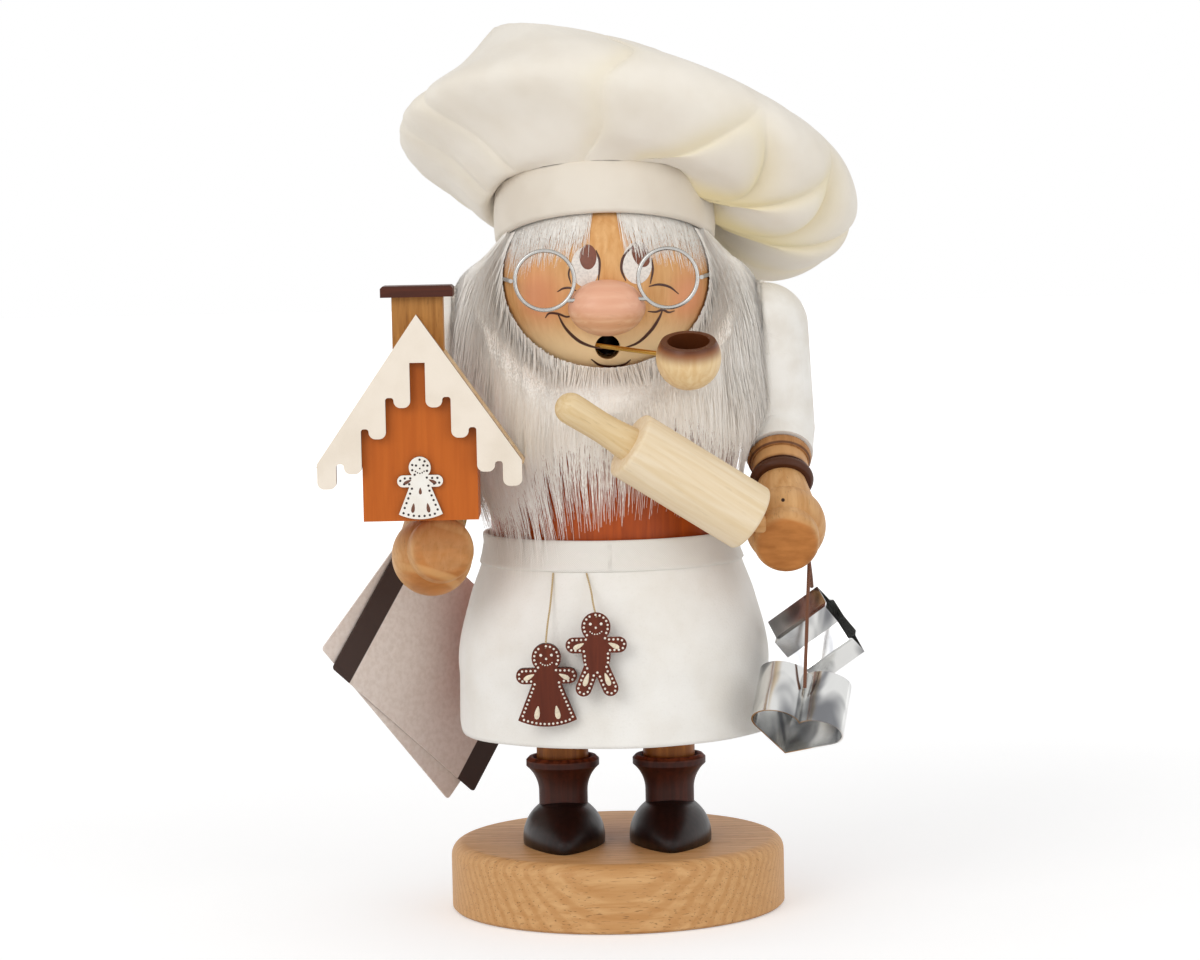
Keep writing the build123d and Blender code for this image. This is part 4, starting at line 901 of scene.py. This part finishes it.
shoulder_clear = 15.2
elbow_clear = 13.2
wrist_clear = 13.5
pin_clear = 11.6
pin_foot = hands["right"] + 10.5 * np.array([-0.03, -0.936, -0.35])
pin_ends = (90, 12)
house_inner_x = -27
house_low_z = 131
house_back_y = -37.2
trunk_range = (60, 177)
trunk_top = 179
trunk_clear = 0.5
tape_top = 126
tape_clear = 2.6
collar_z = 165
collar_clear = 1.2


def clear(points):
    """Move points out of the arms, the rolling pin, the house and the torso."""
    for side in ("left", "right"):
        points = off_limb(points, shoulders[side], elbows[side], shoulder_clear, elbow_clear)
        points = off_limb(points, elbows[side], hands[side], elbow_clear, wrist_clear)
    start, end = (pin_foot - unit(np.array(pin_run)) * reach for reach in pin_ends)
    points = off_limb(points, start, end, pin_clear, pin_clear)
    x, y, z = np.moveaxis(points, -1, 0)
    beside_house = (x < house_inner_x) & (z > house_low_z)
    points[..., 1] = np.where(beside_house, np.maximum(y, house_back_y), y)
    radius = norm(points[..., :2], axis=-1)
    trunk = bell(np.clip(z, *trunk_range)) + trunk_clear
    trunk = trunk + np.where(z < tape_top, tape_clear, 0.0) + np.where(z > collar_z, collar_clear, 0.0)
    low = (radius < trunk) & (z < trunk_top)
    scale = np.where(low, trunk / np.maximum(radius, 1e-6), 1.0)
    points[..., :2] = points[..., :2] * scale[..., None]
    return points


def strands(name, paths, width, out, replaced=()):
    """Flat strands that taper to their tips."""
    count, steps, _ = paths.shape
    side = unit(np.cross(np.gradient(paths, axis=1), out))
    taper = (width[:, None] / 2 * np.linspace(1, 0.2, steps)[None])[..., None]
    points = np.stack([paths - side * taper, paths + side * taper], axis=2)
    first = (np.arange(count)[:, None] * steps + np.arange(steps - 1)[None]) * 2
    faces = np.stack([first, first + 1, first + 3, first + 2], axis=-1).reshape(-1, 4)
    tint = np.broadcast_to(0.5 * rng.random((count, 1, 1)) ** 2, points.shape[:3])
    piece(name, points, faces, fur.material, replaced, fold=tint)


# Height at which the fur ends below the face or the cap, for angles from the front
table_turns = np.linspace(-pi, pi, 721)
spread, ladder = np.meshgrid(table_turns, np.linspace(150, 226, 500))
probe, _ = fur_shell(spread, ladder, np.zeros(spread.shape))
in_face = (probe[..., 1] < 0) & (from_face(probe[..., 0], probe[..., 2]) < 1)
stopped = in_face | ((probe - band_low) @ hat_up >= -band_gap)
table_tops = ladder[np.argmax(stopped, axis=0), 0]


def fur_top(turn):
    return np.interp((turn + pi) % (2 * pi) - pi, table_turns, table_tops)


def beard_hem(turn):
    """Height of the ragged lower edge of the beard."""
    return np.interp(turn, [-1.5, -1.1, -0.85, -0.65, -0.4, -0.15, 0.15, 0.5, 0.9, 1.2, 1.5],
                     [168, 134, 130, 140, 153, 158, 162, 164, 154, 152, 170])


def hair_hem(turn):
    return 163 + 2.5 * np.sin(turn * 5) + 1.5 * np.sin(turn * 11)


strand_widths = (0.2, 0.42)
locks_per_turn = 11
arm_tops = (198, 205)


def grow(name, count, turn_range, hem, depth, length, drop):
    """Strands rooted within a depth below the upper edge, in locks to the hem or a little below it."""
    turn = rng.uniform(*turn_range, count)
    root = fur_top(turn) + 0.8 - depth * rng.random(count)
    root = np.maximum(root, hem(turn) + rng.uniform(14, 26, count))
    root = np.minimum(root, fur_top(turn) + rng.uniform(0, 0.8, count))
    beside = np.clip((np.abs(np.sin(turn)) - 0.965) / 0.02, 0, 1)
    floor = (hem(turn) - drop * rng.random(count) ** 5) * (1 - beside)
    floor = floor + rng.uniform(*arm_tops, count) * beside
    fall = np.maximum(np.minimum(rng.normal(length, length * 0.2, count), root - floor), 4)
    steps = np.linspace(0, 1, 8)
    z = root[:, None] - fall[:, None] * steps
    lock = np.round(turn * locks_per_turn + rng.normal(0, 0.25, count)) / locks_per_turn - turn
    sway = rng.normal(0, 0.03, (count, 1)) * steps + rng.normal(0, 0.008, (count, 1)) * np.sin(steps * 4)
    stray = (rng.random((count, 1)) < 0.07) * rng.uniform(0, 2.2, (count, 1)) * steps ** 2
    lift = rng.uniform(-0.03, 0.05, (count, 1)) * np.sin(steps * pi / 2) + stray - 0.1 * (1 - steps) ** 6
    paths, out = fur_shell(turn[:, None] + lock[:, None] * 0.6 * steps ** 1.5 + sway, z, lift)
    strands(name, clear(paths), rng.uniform(*strand_widths, count), out)


def fleece(name, turn_range, hem, node):
    """Opaque fur between the ragged hem and the upper edge, just below the strands."""
    rows, columns = 48, 300
    turn = np.linspace(*turn_range, columns)
    low = hem(turn) + 4 + rng.uniform(-3.5, 3.5, columns)
    z = low + (fur_top(turn) - low) * np.linspace(0, 1, rows)[:, None]
    turn = np.broadcast_to(turn, z.shape)
    ripple = 0.04 * np.sin(turn * 37 + np.sin(z / 9)) + 0.02 * np.sin(turn * 61)
    points, _ = fur_shell(turn, z, ripple - 0.08)
    piece(name, clear(points), grid(rows, columns), fur.material, [node])


fleece("beard_fleece", (-1.5, 1.5), beard_hem, "beard")
fleece("hair_fleece", (1.4, 2 * pi - 1.4), hair_hem, "hair")
grow("beard_fall", 9000, (-1.45, 1.45), beard_hem, depth=50, length=58, drop=32)
grow("beard_edge", 2200, (-1.2, 1.2), beard_hem, depth=2.5, length=26, drop=8)
grow("hair_fall", 9000, (1.35, 2 * pi - 1.35), hair_hem, depth=50, length=42, drop=14)

# Drapes: loose strands of the hair beside the face
for name, side in (("left_drape", -1.0), ("right_drape", 1.0)):
    count = 1100
    turn = side * rng.uniform(0.8, 1.32, count)
    root = (fur_top(turn) - rng.uniform(0, 26, count))[:, None]
    steps = np.linspace(0, 1, 9)
    end = np.maximum(root - rng.uniform(30, 55, (count, 1)), 148 + 20 * rng.random((count, 1)))
    z = root + (end - root) * steps
    swung = turn[:, None] + side * rng.uniform(-0.05, 0.1, (count, 1)) * steps
    paths, out = fur_shell(swung, z, 0.6 * steps - 0.4)
    loose = rng.uniform(0, 3, (count, 1, 1)) * (steps ** 1.5)[None, :, None]
    paths = paths + loose * np.array([side, -0.25, 0.0])
    strands(name, clear(paths), rng.uniform(*strand_widths, count), out)

# Fringe: tufts from under the band, parted over the nose, longer towards the temples
count = 1500
parting = 3.5
fringe_width = 26
fringe_radius = 34.4
fringe_rise = 14.5
side = np.where(np.arange(count) % 2 == 0, -1.0, 1.0)
start_x = parting + fringe_width * rng.random(count) ** 0.9
steps = np.linspace(0, 1, 8)
lower = np.interp(start_x, [parting, 7, 15, 28], [216, 213.5, 212, 207])
upper = head[2] + np.sqrt(np.maximum(0, fringe_radius ** 2 - start_x ** 2)) * 0.30 + fringe_rise
lower = upper + (lower - upper) * (0.25 + 0.75 * rng.random(count) ** 0.8) + rng.normal(0, 1.0, count)
x = side[:, None] * (start_x[:, None] + steps * rng.uniform(1.0, 6.0, (count, 1)))
z = upper[:, None] + (lower - upper)[:, None] * steps
radius = head_radius + 0.3 + rng.uniform(0.0, 0.35, (count, 1)) * np.sin(steps * pi * 0.8)
y = -np.sqrt(np.maximum(radius ** 2 - x ** 2 - (z - head[2]) ** 2, 1.0))
tufts = np.stack([x, y, z], axis=-1)
strands("forehead_fringe", tufts, rng.uniform(0.2, 0.38, count), unit(tufts - head), ["forehead_tufts"])


# Icing dots and drops on the gingerbread and on the house
def figure_rods(h, skirted):
    """Rods (start, end, radius) that make up the outline of a figure of height h."""
    rods = [((0, 0.325 * h), (0, 0.325 * h), 0.175 * h)]
    rods += [((-0.27 * h, 0.11 * h), (0.27 * h, 0.11 * h), 0.095 * h)]
    if not skirted:
        rods += [((0, -0.08 * h), (0, 0.1 * h), 0.17 * h)]
        rods += [((s * 0.1 * h, -0.26 * h), (s * 0.16 * h, -0.405 * h), 0.095 * h) for s in (-1, 1)]
    return rods


def inside(p, h, skirted):
    """Depth of a point inside a figure's outline."""
    depths = []
    for start, end, radius in figure_rods(h, skirted):
        start = np.array(start)
        run = np.array(end) - start
        t = np.clip((p - start) @ run / max(run @ run, 1e-9), 0, 1)
        depths.append(radius - norm(p - start - run * t))
    if skirted:
        flank = (0.1 * h + 0.25 * h * (0.2 * h - p[1]) / (0.62 * h) - abs(p[0])) * 0.93
        hem = p[1] + 0.5 * h - 0.08 * h * (p[0] / (0.35 * h)) ** 2
        depths.append(min(flank, hem, 0.2 * h - p[1]))
    return max(depths)


def inward(p, h, skirted):
    """Way that leads deeper into a figure's outline."""
    steps = np.array([(0.25, 0.0), (0.0, 0.25)])
    return unit(np.array([inside(p + s, h, skirted) - inside(p - s, h, skirted) for s in steps]))


def dot_line(h, skirted, inset, gap):
    """Places at even steps along the inside of a figure's outline, walked from the top of the head."""
    step = 0.1
    longest_way = 6.5 * h
    p = np.array([0.0, 0.5 * h])
    outline = []
    ways = []
    for _ in range(int(longest_way / step)):
        way = inward(p, h, skirted)
        outline.append(p)
        ways.append(way)
        p = p + np.array([-way[1], way[0]]) * step
        p = p - inward(p, h, skirted) * inside(p, h, skirted)
        if len(outline) > 60 and norm(p - outline[0]) < step:
            break
    outline = np.array(outline)
    chosen = []
    for q in outline + np.array(ways) * inset:
        if norm(outline - q, axis=1).min() < inset * 0.9:
            continue
        if all(norm(q - other) >= gap for other in chosen):
            chosen.append(q)
    return chosen


def beads(name, places, origin, up, size, material, body="figure"):
    """Small domes of icing; each place is x, y, half width, half height and turn."""
    right = np.array([1.0, 0.0, 0.0])
    out = np.cross(right, up)
    rings = ((1.0, 0.0), (0.8, 0.6), (0.4, 0.95), (0.02, 1.0))
    spokes = 12
    points = []
    faces = []
    for x, y, half_x, half_y, turn in places:
        first = len(points)
        for scale, height in rings:
            for a in circle(spokes):
                u = half_x * scale * cos(a) * (1 - 0.45 * sin(a) * (half_y > half_x * 1.2))
                v = half_y * scale * sin(a)
                dx = u * cos(turn) - v * sin(turn)
                dy = u * sin(turn) + v * cos(turn)
                points.append(origin + right * (x + dx) + up * (y + dy) + out * (height * size - 0.05))
        faces += (grid(len(rings), spokes, True) + first).tolist()
    piece(name, points, faces, material, body=body)


def pair(x, y, half_x, half_y, turn=0):
    """The same drop on the left and on the right."""
    return [(s * x, y, half_x, half_y, s * turn) for s in (-1, 1)]


def smile(count, half_width, height, y):
    """Dots in an arc below the nose."""
    arc = np.linspace(-0.9, 0.9, count)
    return [(half_width * sin(a), y - height * cos(a), 0.26, 0.26, 0) for a in arc]


icing = paint("icing", "f5efe2", 0.5)
cream = paint("cream_icing", "ecdfc4", 0.5)
dot_paint = paint("dot_paint", "2a1712", 0.5)
drop_paint = paint("drop_paint", "6a3a22", 0.5)
h = bread_height
for name, (middle, lean, _, skirted) in breads.items():
    up = np.array([0, sin(lean), cos(lean)])
    face_centre = middle + np.array([0, -cos(lean), sin(lean)]) * bread_thickness
    dots = [(x, y, 0.4, 0.4, 0) for x, y in dot_line(h, skirted, 0.85, 1.3)]
    dots += pair(1.7, 0.36 * h, 0.5, 0.5) + [(0, 0.315 * h, 0.4, 0.4, 0)] + smile(6, 2.3, 2.2, 0.32 * h)
    beads(f"{name}_icing", dots, face_centre, up, 0.3, icing, f"gingerbread_{name}")
    drops = pair(0.21 * h, 0.10 * h, 0.75, 2.0, 1.1)
    if skirted:
        drops += pair(0.12 * h, -0.33 * h, 0.85, 2.3, 0.15)
    else:
        drops += pair(0.125 * h, -0.3 * h, 0.8, 2.3, 0.35)
    beads(f"{name}_drops", drops, face_centre, up, 0.35, cream, f"gingerbread_{name}")

low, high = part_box("house_figure")
house_face = np.array([(low[0] + high[0]) / 2, low[1], (low[2] + high[2]) / 2]) * 1000
house_figure_height = 19.6
h = house_figure_height
up = np.array([0.0, 0.0, 1.0])
dots = [(x, y, 0.42, 0.42, 0) for x, y in dot_line(h, True, 0.95, 1.6)]
dots += pair(1.15, 0.36 * h, 0.42, 0.42) + [(0, 0.31 * h, 0.3, 0.3, 0)] + smile(5, 1.7, 1.7, 0.32 * h)
beads("house_figure_dots", dots, house_face, up, 0.2, dot_paint)
drops = pair(0.2 * h, 0.10 * h, 0.55, 1.5, 1.1) + pair(0.12 * h, -0.32 * h, 0.6, 1.7, 0.15)
drops += [(0, -0.05 * h, 0.5, 1.2, 0)]
beads("house_figure_drops", drops, house_face, up, 0.2, drop_paint)

# Floor, lights and background, in metres
floor_half = 6
floor_z = -0.0002
floor_corners = [(x * floor_half, y * floor_half, floor_z) for x, y in ((-1, -1), (1, -1), (1, 1), (-1, 1))]
floor_mesh = bpy.data.meshes.new("floor")
floor_mesh.from_pydata(floor_corners, [], [(0, 1, 2, 3)])
linked("floor", floor_mesh)
white = (1, 1, 1, 1)
paper = Surface("floor", 0.9)
paper.finish(paper.mix(paper.noise(0.02, 2.0), (0.86, 0.86, 0.86, 1), (0.84, 0.84, 0.84, 1)))
far = paper.span(paper.vector("LENGTH", paper.place), 150.0, 1100.0)
paper.put(paper.shader.inputs["Emission Color"], white)
paper.put(paper.shader.inputs["Emission Strength"],
          paper.times(paper.seen(), paper.plus(paper.times(far, 0.32), 0.28)))
floor_mesh.materials.append(paper.material)

world = bpy.data.worlds.new("studio")
world.use_nodes = True
bpy.context.scene.world = world
studio = Nodes(world.node_tree)
ambient = studio.tree.nodes["Background"]
ambient.inputs["Color"].default_value = white
ambient.inputs["Strength"].default_value = 0.72
shown = studio.add("Background", {"Color": white, "Strength": 1.0})
both = studio.add("MixShader", {0: studio.seen(), 1: ambient.outputs[0], 2: shown.outputs[0]})
studio.put(studio.tree.nodes["World Output"].inputs["Surface"], both.outputs[0])


def lamp(name, place, size, power):
    """Round area light that is turned to the middle of the figure."""
    light = bpy.data.lights.new(name, "AREA")
    light.shape = "DISK"
    light.size = size
    light.energy = power
    thing = linked(name, light)
    thing.location = place
    thing.rotation_euler = (Vector((0, 0, 0.16)) - Vector(place)).to_track_quat("-Z", "Y").to_euler()


lamp("key", (-0.8, -1.15, 0.8), 0.9, 5.8)
lamp("fill", (1.0, -0.9, 0.45), 1.0, 2.6)
